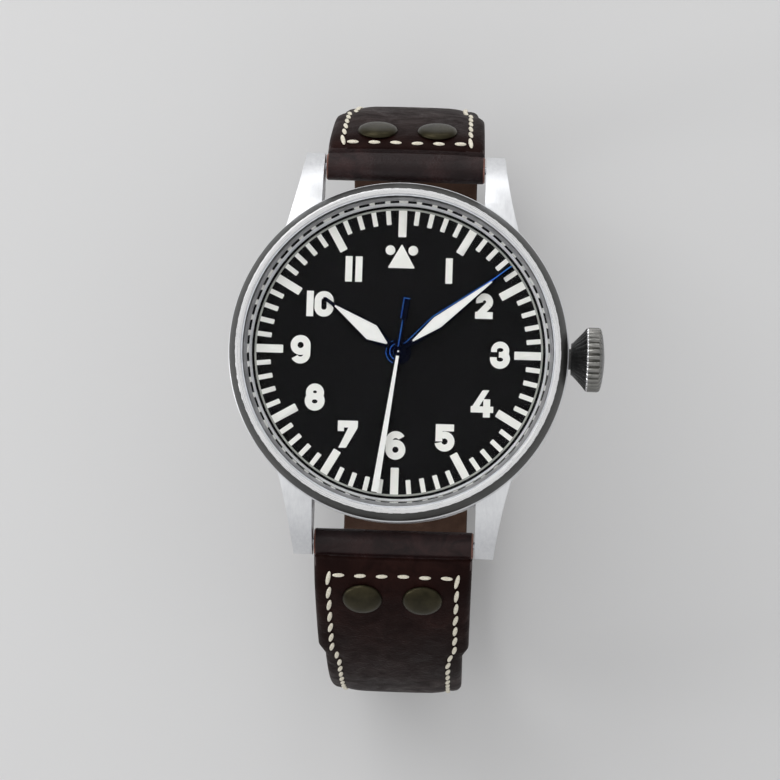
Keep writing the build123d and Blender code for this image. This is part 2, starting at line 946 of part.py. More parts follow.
def hour_hand():
    frame, _ = hour_faces()
    return round_the_dial(slab(frame, hour_hand_z, hour_hand_z + hand_thickness), hour_turn)


def hour_hand_lume():
    _, lume = hour_faces()
    top = hour_hand_z + hand_thickness - lume_sink
    return round_the_dial(slab(lume, hour_hand_z + lume_sink, top), hour_turn)


def minute_hand():
    frame, _ = minute_faces()
    return round_the_dial(slab(frame, minute_hand_z, minute_hand_z + hand_thickness), minute_turn)


def minute_hand_lume():
    _, lume = minute_faces()
    top = minute_hand_z + hand_thickness - lume_sink
    return round_the_dial(slab(lume, minute_hand_z + lume_sink, top), minute_turn)


def seconds_blade():
    root = seconds_hub_radius * hub_join_share
    return hand_outline([(seconds_root_width, root), (seconds_end_width, seconds_reach)], 0)


def seconds_hand():
    stem = Pos(0, -seconds_tail_length / 2) * Rectangle(seconds_tail_width, seconds_tail_length)
    weight_length = seconds_weight_end - seconds_tail_length
    weight_y = -seconds_tail_length - weight_length / 2
    weight = Pos(0, weight_y) * Rectangle(seconds_weight_width, weight_length)
    face = seconds_blade() + Circle(seconds_hub_radius) + stem + weight
    top = seconds_hand_z + seconds_thickness
    body = slab(face, seconds_hand_z, top)
    body += disc(seconds_pipe_radius, seconds_hand_z - seconds_thickness, top + seconds_pipe_rise)
    body -= disc(seconds_arbor_radius, seconds_hand_z - cut_over, top)
    return round_the_dial(body, seconds_turn)


def seconds_hand_lume():
    bottom = seconds_hand_z + seconds_thickness
    blade = seconds_blade() - Circle(seconds_hub_radius)
    return round_the_dial(slab(blade, bottom, bottom + seconds_paint), seconds_turn)


# Places in the movement, all seen from the dial side.
barrel_spot = polar(barrel_distance, barrel_direction)
third_distance = centre_module * (centre_teeth + third_pinion_teeth) / 2
third_spot = polar(third_distance, third_direction)
third_module = 2 * third_distance / (third_teeth + seconds_pinion_teeth)
escape_distance = seconds_module * (seconds_teeth + escape_pinion_teeth) / 2
escape_spot = polar(escape_distance, escape_direction)
barrel_module = 2 * barrel_distance / (barrel_teeth + centre_pinion_teeth)
balance_spot = polar(balance_distance, balance_direction)
escape_to_balance_x = balance_spot[0] - escape_spot[0]
escape_to_balance_y = balance_spot[1] - escape_spot[1]
fork_direction = math.degrees(math.atan2(escape_to_balance_y, escape_to_balance_x))
fork_length = math.hypot(escape_to_balance_x, escape_to_balance_y) - fork_pivot_distance
fork_step = polar(fork_pivot_distance, fork_direction)
fork_spot = (escape_spot[0] + fork_step[0], escape_spot[1] + fork_step[1])
winding_distance = winding_module * (ratchet_teeth + crown_wheel_teeth) / 2
crown_wheel_x = barrel_spot[0] + math.sqrt(winding_distance ** 2 - barrel_spot[1] ** 2)
crown_wheel_spot = (crown_wheel_x, 0)
motion_spot = (motion_distance, 0)
cannon_module = 2 * motion_distance / (cannon_teeth + minute_wheel_teeth)
hour_module = 2 * motion_distance / (minute_pinion_teeth + hour_wheel_teeth)
pivot_spots = (third_spot, escape_spot, balance_spot)


# Movement plates.
def stem_slot(bottom, top):
    return block(slot_start_x, plate_back_rim_radius, -slot_half_width, slot_half_width,
                 bottom - cut_over, top + cut_over)


def mainplate():
    body = disc(plate_radius, plate_floor_z, plate_deck_z)
    body += ring(plate_radius, plate_dial_rim_radius, plate_deck_z, dial_top_z - dial_thickness)
    body += ring(plate_radius, plate_back_rim_radius, bridge_top_z, plate_floor_z)
    body -= disc(centre_arbor_radius + turn_gap, plate_floor_z - cut_over, plate_deck_z + cut_over)
    hole = disc(jewel_radius, plate_floor_z - cut_over, plate_deck_z + cut_over)
    for spot in (*pivot_spots, fork_spot):
        body -= placed(hole, spot)
    hole_top = barrel_arbor_top_z + turn_gap
    barrel_hole = disc(barrel_arbor_radius + turn_gap, plate_floor_z - cut_over, hole_top)
    body -= placed(barrel_hole, barrel_spot)
    body -= stem_slot(plate_floor_z, plate_deck_z)
    body -= rod_along_x(stem_bore, plate_dial_rim_radius, plate_radius + cut_over, 0, stem_z)
    for turn in dial_foot_turns:
        top = dial_top_z - dial_thickness
        hole = disc(dial_foot_radius + seat_gap, top - dial_foot_length - seat_gap, top + cut_over)
        body -= placed(hole, polar(dial_foot_ring, turn))
    screw_hole = disc(bridge_screw_radius, bridge_top_z - cut_over, bridge_bottom_z + bridge_screw_length)
    for turn in bridge_screw_turns:
        body -= placed(screw_hole, polar(bridge_screw_ring, turn))
    post_top = minute_pinion_z + minute_pinion_height
    body += placed(disc(minute_post_radius, plate_deck_z, post_top), motion_spot)
    return body


def bridge_disc():
    body = disc(plate_radius, bridge_bottom_z, bridge_top_z)
    screw_hole = disc(bridge_screw_radius, bridge_bottom_z - cut_over, bridge_top_z + cut_over)
    for turn in bridge_screw_turns:
        body -= placed(screw_hole, polar(bridge_screw_ring, turn))
    return body


# The strip of the balance cock, widened for the gap beside it when it is cut from a bridge.
def cock_strip(side_gap):
    half = cock_width / 2 + side_gap
    strip = block(
        balance_distance - cock_overhang - side_gap, plate_radius + cut_over, -half, half,
        bridge_bottom_z - cut_over, bridge_top_z + cut_over,
    )
    return Rot(0, 0, balance_direction) * strip


def split_half(near, far):
    strip = block(near, far, -2 * plate_radius, 2 * plate_radius, bridge_bottom_z - cut_over,
                  bridge_top_z + cut_over)
    return Rot(0, 0, barrel_direction) * strip


def balance_window():
    window = disc(balance_window_radius, bridge_bottom_z - cut_over, bridge_top_z + cut_over)
    return placed(window, balance_spot)


def barrel_bridge():
    body = bridge_disc() & split_half(bridge_split_far, 2 * plate_radius)
    body -= balance_window()
    body -= cock_strip(cock_gap)
    hole = disc(barrel_arbor_radius + turn_gap, bridge_bottom_z - cut_over, bridge_top_z + cut_over)
    body -= placed(hole, barrel_spot)
    post_hole = disc(crown_wheel_post, bridge_bottom_z - cut_over, bridge_top_z + cut_over)
    body -= placed(post_hole, crown_wheel_spot)
    body -= stem_slot(bridge_bottom_z, bridge_top_z)
    return body


def train_bridge():
    body = bridge_disc() & split_half(-2 * plate_radius, bridge_split_near)
    body -= balance_window()
    body -= cock_strip(cock_gap)
    body -= disc(seconds_arbor_radius + turn_gap, bridge_top_z - jewel_thickness, bridge_top_z + cut_over)
    hole = disc(jewel_radius, bridge_bottom_z - cut_over, bridge_top_z + cut_over)
    for spot in (third_spot, escape_spot):
        body -= placed(hole, spot)
    body -= stem_slot(bridge_bottom_z, bridge_top_z)
    return body


def balance_cock():
    body = bridge_disc() & cock_strip(0)
    hole = disc(jewel_radius, bridge_bottom_z - cut_over, bridge_top_z + cut_over)
    return body - placed(hole, balance_spot)


def jewels():
    upper = ring(jewel_radius, pivot_radius + seat_gap, plate_floor_z, plate_floor_z + jewel_thickness)
    lower = ring(jewel_radius, pivot_radius + seat_gap, bridge_top_z - jewel_thickness, bridge_top_z)
    stones = [placed(upper, spot) for spot in (*pivot_spots, fork_spot)]
    stones += [placed(lower, spot) for spot in pivot_spots]
    return solids_of(stones)


def movement_screws():
    head_bottom = bridge_bottom_z - bridge_screw_height
    screw = disc(bridge_screw_head, head_bottom, bridge_bottom_z)
    screw += disc(bridge_screw_radius, bridge_bottom_z, bridge_bottom_z + bridge_screw_length)
    shapes = [placed(screw, polar(bridge_screw_ring, turn)) for turn in bridge_screw_turns]
    clamp_bottom = holder_bottom_z - clamp_thickness
    clamp_screw = disc(clamp_head_radius, clamp_bottom - clamp_head_height, clamp_bottom)
    clamp_screw += disc(clamp_screw_radius, clamp_bottom, clamp_bottom + clamp_screw_length)
    shapes += [placed(clamp_screw, polar(clamp_screw_ring, turn)) for turn in clamp_turns]
    post_bottom = winding_wheel_z - turn_gap
    post = disc(crown_wheel_post, post_bottom, bridge_top_z)
    post += disc(crown_wheel_head, post_bottom - crown_wheel_head_height, post_bottom)
    shapes.append(placed(post, crown_wheel_spot))
    return solids_of(shapes)


def movement_ring():
    top = dial_top_z - dial_thickness
    body = ring(case_bore_radius - seat_gap, holder_wall_radius, holder_bottom_z, top)
    body -= rod_along_x(stem_bore, plate_radius - cut_over, case_bore_radius + cut_over, 0, stem_z)
    clamp_bottom = holder_bottom_z - clamp_thickness
    hole = disc(clamp_screw_radius, clamp_bottom, clamp_bottom + clamp_screw_length)
    for turn in clamp_turns:
        body -= placed(hole, polar(clamp_screw_ring, turn))
    return body


def case_clamps():
    bottom = holder_bottom_z - clamp_thickness
    reach = case_bore_radius + clamp_reach
    plates = []
    for turn in clamp_turns:
        plate = block(clamp_inner_radius, reach, -clamp_width / 2, clamp_width / 2, bottom, holder_bottom_z)
        plate &= disc(reach, bottom, holder_bottom_z)
        plate -= placed(disc(clamp_screw_radius, bottom - cut_over, holder_bottom_z + cut_over),
                        (clamp_screw_ring, 0))
        plates.append(Rot(0, 0, turn) * plate)
    return solids_of(plates)


# Train of wheels, each with the pinion it shares an arbor with.
def staff(top_z, bottom_z):
    body = disc(staff_radius, bottom_z + turn_gap, top_z - turn_gap)
    return body + disc(pivot_radius, bottom_z - jewel_thickness, top_z + jewel_thickness)


def center_wheel():
    top = centre_wheel_z + wheel_thickness
    wheel = spoked(toothed_face(centre_teeth, centre_module, third_direction),
                   root_of(centre_teeth, centre_module), centre_arbor_bore)
    body = slab(wheel, centre_wheel_z, top)
    pinion_bottom = drum_top_z - drum_teeth_height
    pinion = toothed_face(centre_pinion_teeth, barrel_module, barrel_direction) - Circle(centre_arbor_bore)
    body += slab(pinion, pinion_bottom, centre_wheel_z)
    return body + ring(centre_arbor_radius, centre_arbor_bore, pinion_bottom, minute_hand_z)


def mainspring_barrel():
    flange_bottom = drum_top_z - drum_teeth_height
    first = answering_turn(barrel_direction, barrel_teeth)
    bore = barrel_arbor_radius + turn_gap
    inner = drum_radius - drum_wall
    body = slab(toothed_face(barrel_teeth, barrel_module, first) - Circle(inner), flange_bottom, drum_top_z)
    body += ring(drum_radius, inner, drum_bottom_z, drum_top_z)
    body += ring(drum_radius, bore, drum_top_z - drum_cover, drum_top_z)
    body += ring(drum_radius, bore, drum_bottom_z, drum_bottom_z + drum_cover)
    return placed(body, barrel_spot)


# A flat spiral of half circles that swap between two middles half a step apart.
def spiral_face(start, step, half_turns, thickness):
    face = None
    radius = start
    for half_turn in range(half_turns):
        side = 1 if half_turn % 2 == 0 else -1
        middle = 0 if half_turn % 2 == 0 else -step / 2
        reach = side * radius
        arc = ThreePointArc((middle + reach, 0), (middle, reach), (middle - reach, 0))
        piece = trace(arc, thickness)
        face = piece if face is None else face + piece
        radius += step / 2
    return face


def mainspring():
    gap = drum_cover + turn_gap
    face = spiral_face(mainspring_start, mainspring_step, mainspring_half_turns, mainspring_thickness)
    return placed(slab(face, drum_bottom_z + gap, drum_top_z - gap), barrel_spot)


def barrel_arbor():
    gap = drum_cover + turn_gap
    body = disc(barrel_arbor_radius, winding_wheel_z, barrel_arbor_top_z)
    body += disc(barrel_hub_radius, drum_bottom_z + gap, drum_top_z - gap)
    return placed(body, barrel_spot)


def third_wheel():
    first = answering_turn(third_direction, third_pinion_teeth)
    pinion = toothed_face(third_pinion_teeth, centre_module, first)
    pinion_bottom = centre_wheel_z - (pinion_length - wheel_thickness) / 2
    body = slab(pinion, pinion_bottom, pinion_bottom + pinion_length)
    wheel = spoked(toothed_face(third_teeth, third_module, third_direction + full_turn / 2),
                   root_of(third_teeth, third_module), staff_radius / 2)
    body += slab(wheel, third_wheel_z, third_wheel_z + wheel_thickness)
    body += staff(plate_floor_z, bridge_top_z)
    return placed(body, third_spot)


def fourth_wheel():
    first = answering_turn(third_direction + full_turn / 2, seconds_pinion_teeth)
    pinion = toothed_face(seconds_pinion_teeth, third_module, first)
    pinion_bottom = third_wheel_z - (pinion_length - wheel_thickness) / 2
    body = slab(pinion, pinion_bottom, pinion_bottom + pinion_length)
    wheel = spoked(toothed_face(seconds_teeth, seconds_module, escape_direction),
                   root_of(seconds_teeth, seconds_module), seconds_arbor_radius / 2)
    body += slab(wheel, seconds_wheel_z, seconds_wheel_z + wheel_thickness)
    top = seconds_hand_z + seconds_thickness
    return body + disc(seconds_arbor_radius, bridge_top_z - jewel_thickness + turn_gap, top)


def escape_wheel():
    first = answering_turn(escape_direction, escape_pinion_teeth)
    pinion = toothed_face(escape_pinion_teeth, seconds_module, first)
    pinion_bottom = seconds_wheel_z - (pinion_length - wheel_thickness) / 2
    body = slab(pinion, pinion_bottom, pinion_bottom + pinion_length)
    points = []
    pitch = full_turn / escape_teeth
    for tooth in range(escape_teeth):
        start = tooth * pitch
        points.append(polar(escape_root_radius, start))
        for share in escape_tip_shares:
            points.append(polar(escape_radius, start + pitch * share))
        points.append(polar(escape_root_radius, start + pitch * escape_heel_share))
    web = Circle(escape_rim_radius) - Circle(hub_radius)
    for spoke in range(spoke_count):
        turn = spoke * full_turn / spoke_count
        web -= Rot(0, 0, turn) * Pos(escape_radius / 2, 0) * Rectangle(escape_radius, spoke_width)
    body += slab(flat(*points) - web, escape_wheel_z, escape_wheel_z + wheel_thickness)
    body += staff(plate_floor_z, bridge_top_z)
    return placed(body, escape_spot)


# The fork lies along +X from its pivot to the balance before it is turned into place.
def pallet_fork():
    reach = fork_length - roller_radius - fork_end_gap
    lever = Pos(reach / 2, 0) * Rectangle(reach, fork_lever_width) + Circle(2 * staff_radius)
    stone_ring = escape_radius + pallet_gap + pallet_size / 2
    stone_x, stone_y = polar(stone_ring, pallet_spread)
    for side in (-1, 1):
        elbow = (stone_x - fork_pivot_distance + pallet_size, side * (stone_y + pallet_size))
        lever += trace(Line((0, 0), elbow), fork_arm_width)
        stone = Rot(0, 0, side * pallet_spread) * Rectangle(pallet_size, pallet_size)
        lever += Pos(stone_x - fork_pivot_distance, side * stone_y) * stone
        lever += trace(Line(elbow, (stone_x - fork_pivot_distance, side * stone_y)), pallet_arm_width)
    body = slab(lever, fork_z, fork_z + fork_thickness)
    body += disc(staff_radius, fork_z - turn_gap, plate_floor_z - turn_gap)
    body += disc(pivot_radius, fork_z, plate_floor_z + jewel_thickness)
    return placed(Rot(0, 0, fork_direction) * body, fork_spot)


def balance_wheel():
    rim = Circle(balance_radius) - Circle(balance_radius - balance_rim)
    rim += Rectangle(2 * balance_radius - balance_rim, balance_arm_width) + Circle(hub_radius)
    body = slab(rim, balance_bottom_z, balance_bottom_z + balance_height)
    body += disc(balance_staff_radius, bridge_top_z + turn_gap, plate_floor_z - turn_gap)
    body += disc(pivot_radius, bridge_top_z - jewel_thickness, plate_floor_z + jewel_thickness)
    body += disc(roller_radius, roller_bottom_z, roller_bottom_z + roller_height)
    return placed(body, balance_spot)


def hairspring():
    face = spiral_face(hairspring_start, hairspring_step, hairspring_half_turns, hairspring_thickness)
    return placed(slab(face, hairspring_z, hairspring_z + hairspring_height), balance_spot)


# Motion works.
def cannon_pinion():
    leaves = toothed_face(cannon_teeth, cannon_module, 0) - Circle(centre_arbor_radius)
    body = slab(leaves, cannon_leaf_z, cannon_leaf_z + cannon_leaf_height)
    return body + ring(cannon_radius, centre_arbor_radius, cannon_leaf_z, minute_hand_z + hand_thickness)


def minute_wheel():
    bore = minute_post_radius + turn_gap
    first = answering_turn(0, minute_wheel_teeth)
    wheel = toothed_face(minute_wheel_teeth, cannon_module, first) - Circle(bore)
    body = slab(wheel, minute_wheel_z, minute_wheel_z + motion_wheel_thickness)
    pinion = toothed_face(minute_pinion_teeth, hour_module, full_turn / 2) - Circle(bore)
    body += slab(pinion, minute_pinion_z, minute_pinion_z + minute_pinion_height)
    return placed(body, motion_spot)


def hour_wheel():
    first = answering_turn(full_turn / 2, hour_wheel_teeth)
    wheel = toothed_face(hour_wheel_teeth, hour_module, first) - Circle(hour_tube_bore)
    body = slab(wheel, hour_wheel_z, hour_wheel_z + motion_wheel_thickness)
    return body + ring(hour_tube_radius, hour_tube_bore, hour_wheel_z, hour_hand_z + hand_thickness)


# Winding works.
def ratchet_wheel():
    line = math.degrees(math.atan2(-barrel_spot[1], crown_wheel_x - barrel_spot[0]))
    face = toothed_face(ratchet_teeth, winding_module, line) - Circle(barrel_arbor_radius)
    return placed(slab(face, winding_wheel_z, winding_wheel_z + winding_wheel_thickness), barrel_spot)


def crown_wheel():
    line = math.degrees(math.atan2(-barrel_spot[1], crown_wheel_x - barrel_spot[0]))
    face = toothed_face(crown_wheel_teeth, winding_module, answering_turn(line, crown_wheel_teeth))
    face -= Circle(crown_wheel_post + turn_gap)
    return placed(slab(face, winding_wheel_z, winding_wheel_z + winding_wheel_thickness), crown_wheel_spot)


# Shapes of the stem are drawn about +Z and laid along +X.
def along_stem(shape, start_x):
    return Pos(start_x, 0, stem_z) * Rot(0, 90, 0) * shape


def winding_pinion():
    face = toothed_face(pinion_teeth, pinion_module, 0) - Circle(pinion_bore)
    return along_stem(slab(face, 0, pinion_width), pinion_start_x)


def sliding_clutch():
    side = stem_square + 2 * seat_gap
    body = disc(clutch_radius, 0, clutch_width)
    middle = clutch_width / 2
    body -= ring(clutch_radius + cut_over, clutch_groove_radius,
                 middle - clutch_groove_width / 2, middle + clutch_groove_width / 2)
    body -= block(-side / 2, side / 2, -side / 2, side / 2, -cut_over, clutch_width + cut_over)
    return along_stem(body, clutch_start_x)


def winding_stem():
    half = stem_square / 2
    square = block(-half, half, -half, half, 0, stem_square_end - stem_square_start)
    body = along_stem(square, stem_square_start)
    body += rod_along_x(stem_pilot_radius, stem_pilot_x, stem_square_start, 0, stem_z)
    body += rod_along_x(stem_radius, stem_square_end, crown_recess_x, 0, stem_z)
    return body + rod_along_x(stem_thread_radius, crown_recess_x, stem_end_x, 0, stem_z)


def crown_tube():
    body = rod_along_x(tube_radius, tube_start_x, tube_end_x, 0, stem_z)
    return body - rod_along_x(tube_bore, tube_start_x - cut_over, tube_end_x + cut_over, 0, stem_z)


def crown_gasket():
    end = crown_gasket_x + crown_gasket_width
    body = rod_along_x(crown_recess_radius, crown_gasket_x, end, 0, stem_z)
    return body - rod_along_x(tube_radius + seat_gap, crown_gasket_x - cut_over, end + cut_over, 0, stem_z)


def crown():
    length = crown_edge_x - crown_start_x
    shoulder = crown_shoulder_x - crown_start_x
    dome = crown_dome_x - crown_start_x
    body = turned([
        (0, 0),
        (crown_throat_radius, 0),
        (crown_radius, shoulder),
        (crown_radius, length - crown_edge_break),
        (crown_radius - crown_edge_break, length),
        (crown_radius / 2, length + (dome - length) * crown_dome_share),
        (0, dome),
    ])
    bottom = crown_radius - crown_flute_depth
    throat = crown_throat_radius - crown_throat_depth
    side = Polyline(
        (bottom, length + cut_over), (bottom, shoulder), (throat, 0), (throat, -cut_over),
        (crown_radius + cut_over, -cut_over), (crown_radius + cut_over, length + cut_over), close=True,
    )
    cutter = extrude(Plane.XZ * make_face(side), crown_flute_width / 2, both=True)
    for flute in range(crown_flutes):
        body -= Rot(0, 0, flute * full_turn / crown_flutes) * cutter
    body -= disc(crown_recess_radius, -cut_over, crown_recess_x - crown_start_x)
    body -= disc(stem_thread_radius, 0, stem_end_x - crown_start_x)
    return along_stem(body, crown_start_x)


# Rotor, drawn with its heavy half towards -Y.
def rotor():
    plate_top = rotor_plate_z + rotor_plate
    bore = bearing_radius + turn_gap
    body = ring(rotor_radius, bore, rotor_plate_z, plate_top)
    body += ring(rotor_radius, rotor_rim_radius, rotor_rim_bottom_z, rotor_rim_top_z)
    body -= block(-rotor_radius - cut_over, rotor_radius + cut_over, 0, rotor_radius + cut_over,
                  rotor_rim_bottom_z - cut_over, rotor_rim_top_z + cut_over)
    for turn in rotor_window_turns:
        window = Circle(rotor_window_outer) - Circle(rotor_window_inner)
        wedge = flat((0, 0), polar(rotor_radius, turn - rotor_window_turn / 2),
                     polar(rotor_radius, turn + rotor_window_turn / 2))
        body -= slab(window & wedge, rotor_plate_z - cut_over, plate_top + cut_over)
    return body + ring(rotor_hub_radius, bore, rotor_plate_z, plate_top)


def rotor_bearing():
    flange_top = rotor_plate_z - bearing_flange_gap
    flange_bottom = rotor_plate_z + rotor_plate + bearing_flange_gap
    body = disc(bearing_radius, bearing_bottom_z, bridge_bottom_z)
    body += disc(bearing_flange, bearing_bottom_z, flange_top)
    return body + disc(bearing_flange, flange_bottom, bridge_bottom_z)


# Spring bars.
def spring_bar(side):
    body = rod_along_x(bar_tube_radius, -bar_tube_reach, bar_tube_reach, side * bar_y, bar_z)
    body += rod_along_x(bar_pin_radius, -bar_pin_reach, bar_pin_reach, side * bar_y, bar_z)
    for end in (-1, 1):
        outer = end * (bar_tube_reach - bar_flange_width / 2)
        flange = rod_along_x(bar_flange_radius, outer - bar_flange_width / 2, outer + bar_flange_width / 2,
                             side * bar_y, bar_z)
        body += flange
    return body


# Route of the outer face of a strap half, as moves: a run of some length, or an arc of radius and turn.
# Slope is measured down from +Y; a negative turn bends the strap outward.
def walk_points(start, slope, moves, breaks):
    stations = []
    along = 0
    y, z = start
    stations.append((along, y, z, slope))
    for radius, amount in moves:
        length = amount if radius == 0 else radius * math.radians(abs(amount))
        here = {length}
        steps = max(1, math.ceil(length / station_step))
        here.update(length * step / steps for step in range(1, steps))
        here.update(mark - along for mark in breaks if seat_gap < mark - along < length - seat_gap)
        for part in sorted(here):
            if radius == 0:
                angle = math.radians(slope)
                station = (along + part, y + part * math.cos(angle), z - part * math.sin(angle), slope)
            else:
                bend = math.copysign(1, amount)
                first = math.radians(slope)
                last = first + bend * part / radius
                station = (
                    along + part,
                    y + bend * radius * (math.sin(last) - math.sin(first)),
                    z + bend * radius * (math.cos(last) - math.cos(first)),
                    math.degrees(last),
                )
            stations.append(station)
        along, y, z, slope = stations[-1]
    return stations


def between(marks, along):
    for (low, low_value), (high, high_value) in zip(marks, marks[1:]):
        if along <= high:
            share = (along - low) / (high - low)
            return low_value + share * (high_value - low_value)
    return marks[-1][1]


# A band of leather between two depths under the outer face, one flat section at each station.
def band(stations, widths, outer_depth, inner_depth, side):
    sections = []
    for along, y, z, slope in stations:
        angle = math.radians(slope)
        half = between(widths, along) / 2
        corners = []
        for depth in (between(outer_depth, along), between(inner_depth, along)):
            corners.append((side * (y - depth * math.sin(angle)), z - depth * math.cos(angle)))
        (outer_y, outer_z), (inner_y, inner_z) = corners
        sections.append(Face(Wire.make_polygon([
            Vector(-half, outer_y, outer_z), Vector(half, outer_y, outer_z),
            Vector(half, inner_y, inner_z), Vector(-half, inner_y, inner_z),
        ])))
    return loft(sections, ruled=True)

strap_start = (bar_y, bar_z + roll_radius)
short_moves = [
    (short_bend_radius, short_bend_turn),
    (short_side_radius, short_side_turn),
    (0, short_drop),
    (corner_radius, quarter_turn),
]
short_corner = walk_points(strap_start, short_start_turn, short_moves, [])[-1]
short_length = short_corner[0] + short_flat
short_moves.append((0, short_flat))
buckle_bar_y = short_corner[1] - short_flat
strap_floor_z = short_corner[2]
buckle_bar_z = strap_floor_z + strap_end_thickness / 2

# The long half comes round the other side, dips outward at the buckle and lies over the short half.
long_moves = [(long_bend_radius, long_bend_turn)]
long_bend_end = walk_points(strap_start, long_start_turn, long_moves, [])[-1]
long_side_fall = long_bend_end[2] - long_corner_radius - strap_floor_z
long_side_radius = long_side_fall / math.cos(math.radians(long_start_turn + long_bend_turn))
long_moves += [(long_side_radius, long_side_turn), (long_corner_radius, quarter_turn)]
long_corner = walk_points(strap_start, long_start_turn, long_moves, [])[-1]
cross_start_y = buckle_bar_y - cross_lead
cross_start = long_corner[1] + cross_start_y
cross_along = long_corner[0] + cross_start
tail_drop = strap_gap + tail_thickness
cross_turn = math.degrees(2 * math.atan(tail_drop / cross_length))
cross_radius = cross_length / (2 * math.sin(math.radians(cross_turn)))
tail_radius = corner_radius + strap_gap + tail_thickness
tail_flat = short_corner[1] - (cross_start_y + cross_length)
long_moves += [
    (0, cross_start),
    (cross_radius, -cross_turn),
    (cross_radius, cross_turn),
    (0, tail_flat),
    (tail_radius, tail_wrap_turn),
]
long_length = walk_points(strap_start, long_start_turn, long_moves, [])[-1][0]
tail_start = long_length - tail_taper
tail_widths = [(tail_start + along * tail_taper, width * strap_end_width) for along, width in tail_shares]
breaks = [shoulder_along, waist_along, thin_along]
short_stations = walk_points(strap_start, short_start_turn, short_moves, breaks)
long_breaks = breaks + [cross_along] + [along for along, _ in tail_widths]
long_stations = walk_points(strap_start, long_start_turn, long_moves, long_breaks)

lug_widths = [
    (0, strap_lug_width), (shoulder_along, strap_shoulder_width), (waist_along, strap_waist_width),
]
short_widths = lug_widths + [(short_length, strap_end_width)]
long_widths = lug_widths + [(thin_along, strap_end_width)] + tail_widths
short_depths = [
    (0, strap_roll_thickness), (waist_along, strap_body_thickness), (thin_along, strap_end_thickness),
]
long_depths = short_depths + [(cross_along, tail_thickness)]
surface_depth = [(0, 0), (short_length, 0)]


def less_lining(depths):
    return [(along, depth - lining_thickness) for along, depth in depths]


def lug_roll(side):
    return rod_along_x(roll_radius, -strap_lug_width / 2, strap_lug_width / 2, side * bar_y, bar_z)


def lug_bore(side):
    return rod_along_x(bar_hole_radius, -strap_lug_width, strap_lug_width, side * bar_y, bar_z)


def station_at(stations, along):
    for low, high in zip(stations, stations[1:]):
        if along <= high[0]:
            share = (along - low[0]) / (high[0] - low[0])
            return [a + share * (b - a) for a, b in zip(low, high)]
    return list(stations[-1])


# A shape drawn about +Z at the origin, stood on the outer face with +Z pointing out of the leather.
def on_strap(shape, stations, along, side, x):
    _, y, z, slope = station_at(stations, along)
    tilt = -slope if side > 0 else slope
    return Pos(x, side * y, z) * Rot(tilt, 0, 0) * shape


def rivet_places():
    rows = ((short_stations, short_rivet_along, 1), (long_stations, long_rivet_along, -1))
    for stations, along, side in rows:
        for x in (-rivet_side, rivet_side):
            yield stations, along, side, x


def rivet_hole(side):
    hole = disc(rivet_shank_radius, -2 * strap_roll_thickness, rivet_rise)
    shapes = [on_strap(hole, *place) for place in rivet_places() if place[2] == side]
    return shapes[0] + shapes[1]


def rivet():
    dome_radius = (rivet_radius ** 2 + rivet_rise ** 2) / (2 * rivet_rise)
    head = disc(rivet_radius, 0, rivet_rise) & (Pos(0, 0, rivet_rise - dome_radius) * Sphere(dome_radius))
    shank = disc(rivet_shank_radius, -rivet_shank_length, rivet_rise / 2)
    return head + shank


def strap_rivets():
    return solids_of([on_strap(rivet(), *place) for place in rivet_places()])


def tongue_slot():
    half = tongue_slot_length / 2
    back = buckle_bar_y + tongue_eye_radius + tongue_slot_gap
    return block(-half, half, buckle_bar_y - 2 * strap_end_thickness, back,
                 strap_floor_z - strap_gap / 2, strap_floor_z + 2 * strap_end_thickness)


def bar_fold():
    half = strap_end_width / 2
    return rod_along_x(strap_end_thickness / 2, -half, half, buckle_bar_y, buckle_bar_z)


def bar_bore():
    radius = buckle_bar_radius + seat_gap
    return rod_along_x(radius, -strap_end_width, strap_end_width, buckle_bar_y, buckle_bar_z)


def strap_short():
    body = band(short_stations, short_widths, surface_depth, less_lining(short_depths), 1)
    body += lug_roll(1)
    body += bar_fold()
    return body - lug_bore(1) - rivet_hole(1) - tongue_slot() - bar_bore()


# The holes lie square to the leather; the one in use is drawn long by the tongue.
def punched_holes():
    used_hole_y = buckle_bar_y - used_hole_lead
    half = (used_hole_length - 2 * hole_radius) / 2
    low = strap_floor_z - 3 * tail_thickness
    high = strap_floor_z + strap_end_thickness + cut_over
    slot = disc(hole_radius, low, high)
    shape = Pos(0, used_hole_y - half, 0) * slot + Pos(0, used_hole_y + half, 0) * slot
    shape += block(-hole_radius, hole_radius, used_hole_y - half, used_hole_y + half, low, high)
    for count, side in ((hole_count_inner, -1), (hole_count_outer, 1)):
        for step in range(1, count + 1):
            y = used_hole_y + side * (half + step * hole_pitch)
            shape += Pos(0, y, 0) * slot
    return shape


def strap_long():
    body = band(long_stations, long_widths, surface_depth, less_lining(long_depths), -1)
    body += lug_roll(-1)
    return body - lug_bore(-1) - rivet_hole(-1) - punched_holes()


def strap_lining():
    short = band(short_stations, short_widths, less_lining(short_depths), short_depths, 1)
    short -= lug_roll(1) + rivet_hole(1) + tongue_slot() + bar_fold() + bar_bore()
    long = band(long_stations, long_widths, less_lining(long_depths), long_depths, -1)
    long -= lug_roll(-1) + rivet_hole(-1) + punched_holes()
    return solids_of([short, long])


# Buckle.
buckle_inner_half = strap_end_width / 2 + keeper_side_gap
keeper_bottom_z = strap_floor_z - strap_gap - tail_thickness - keeper_slack - keeper_wall
front_top_z = strap_floor_z - keeper_slack
tongue_drop = buckle_bar_z - keeper_bottom_z - tongue_lift - tongue_thickness / 2
tongue_fall = math.degrees(math.asin(tongue_drop / tongue_length))


def tongue_blade():
    half = tongue_width / 2
    blade = block(-half, half, -tongue_length, 0, -tongue_thickness / 2, tongue_thickness / 2)
    return Pos(0, buckle_bar_y, buckle_bar_z) * Rot(tongue_fall, 0, 0) * blade


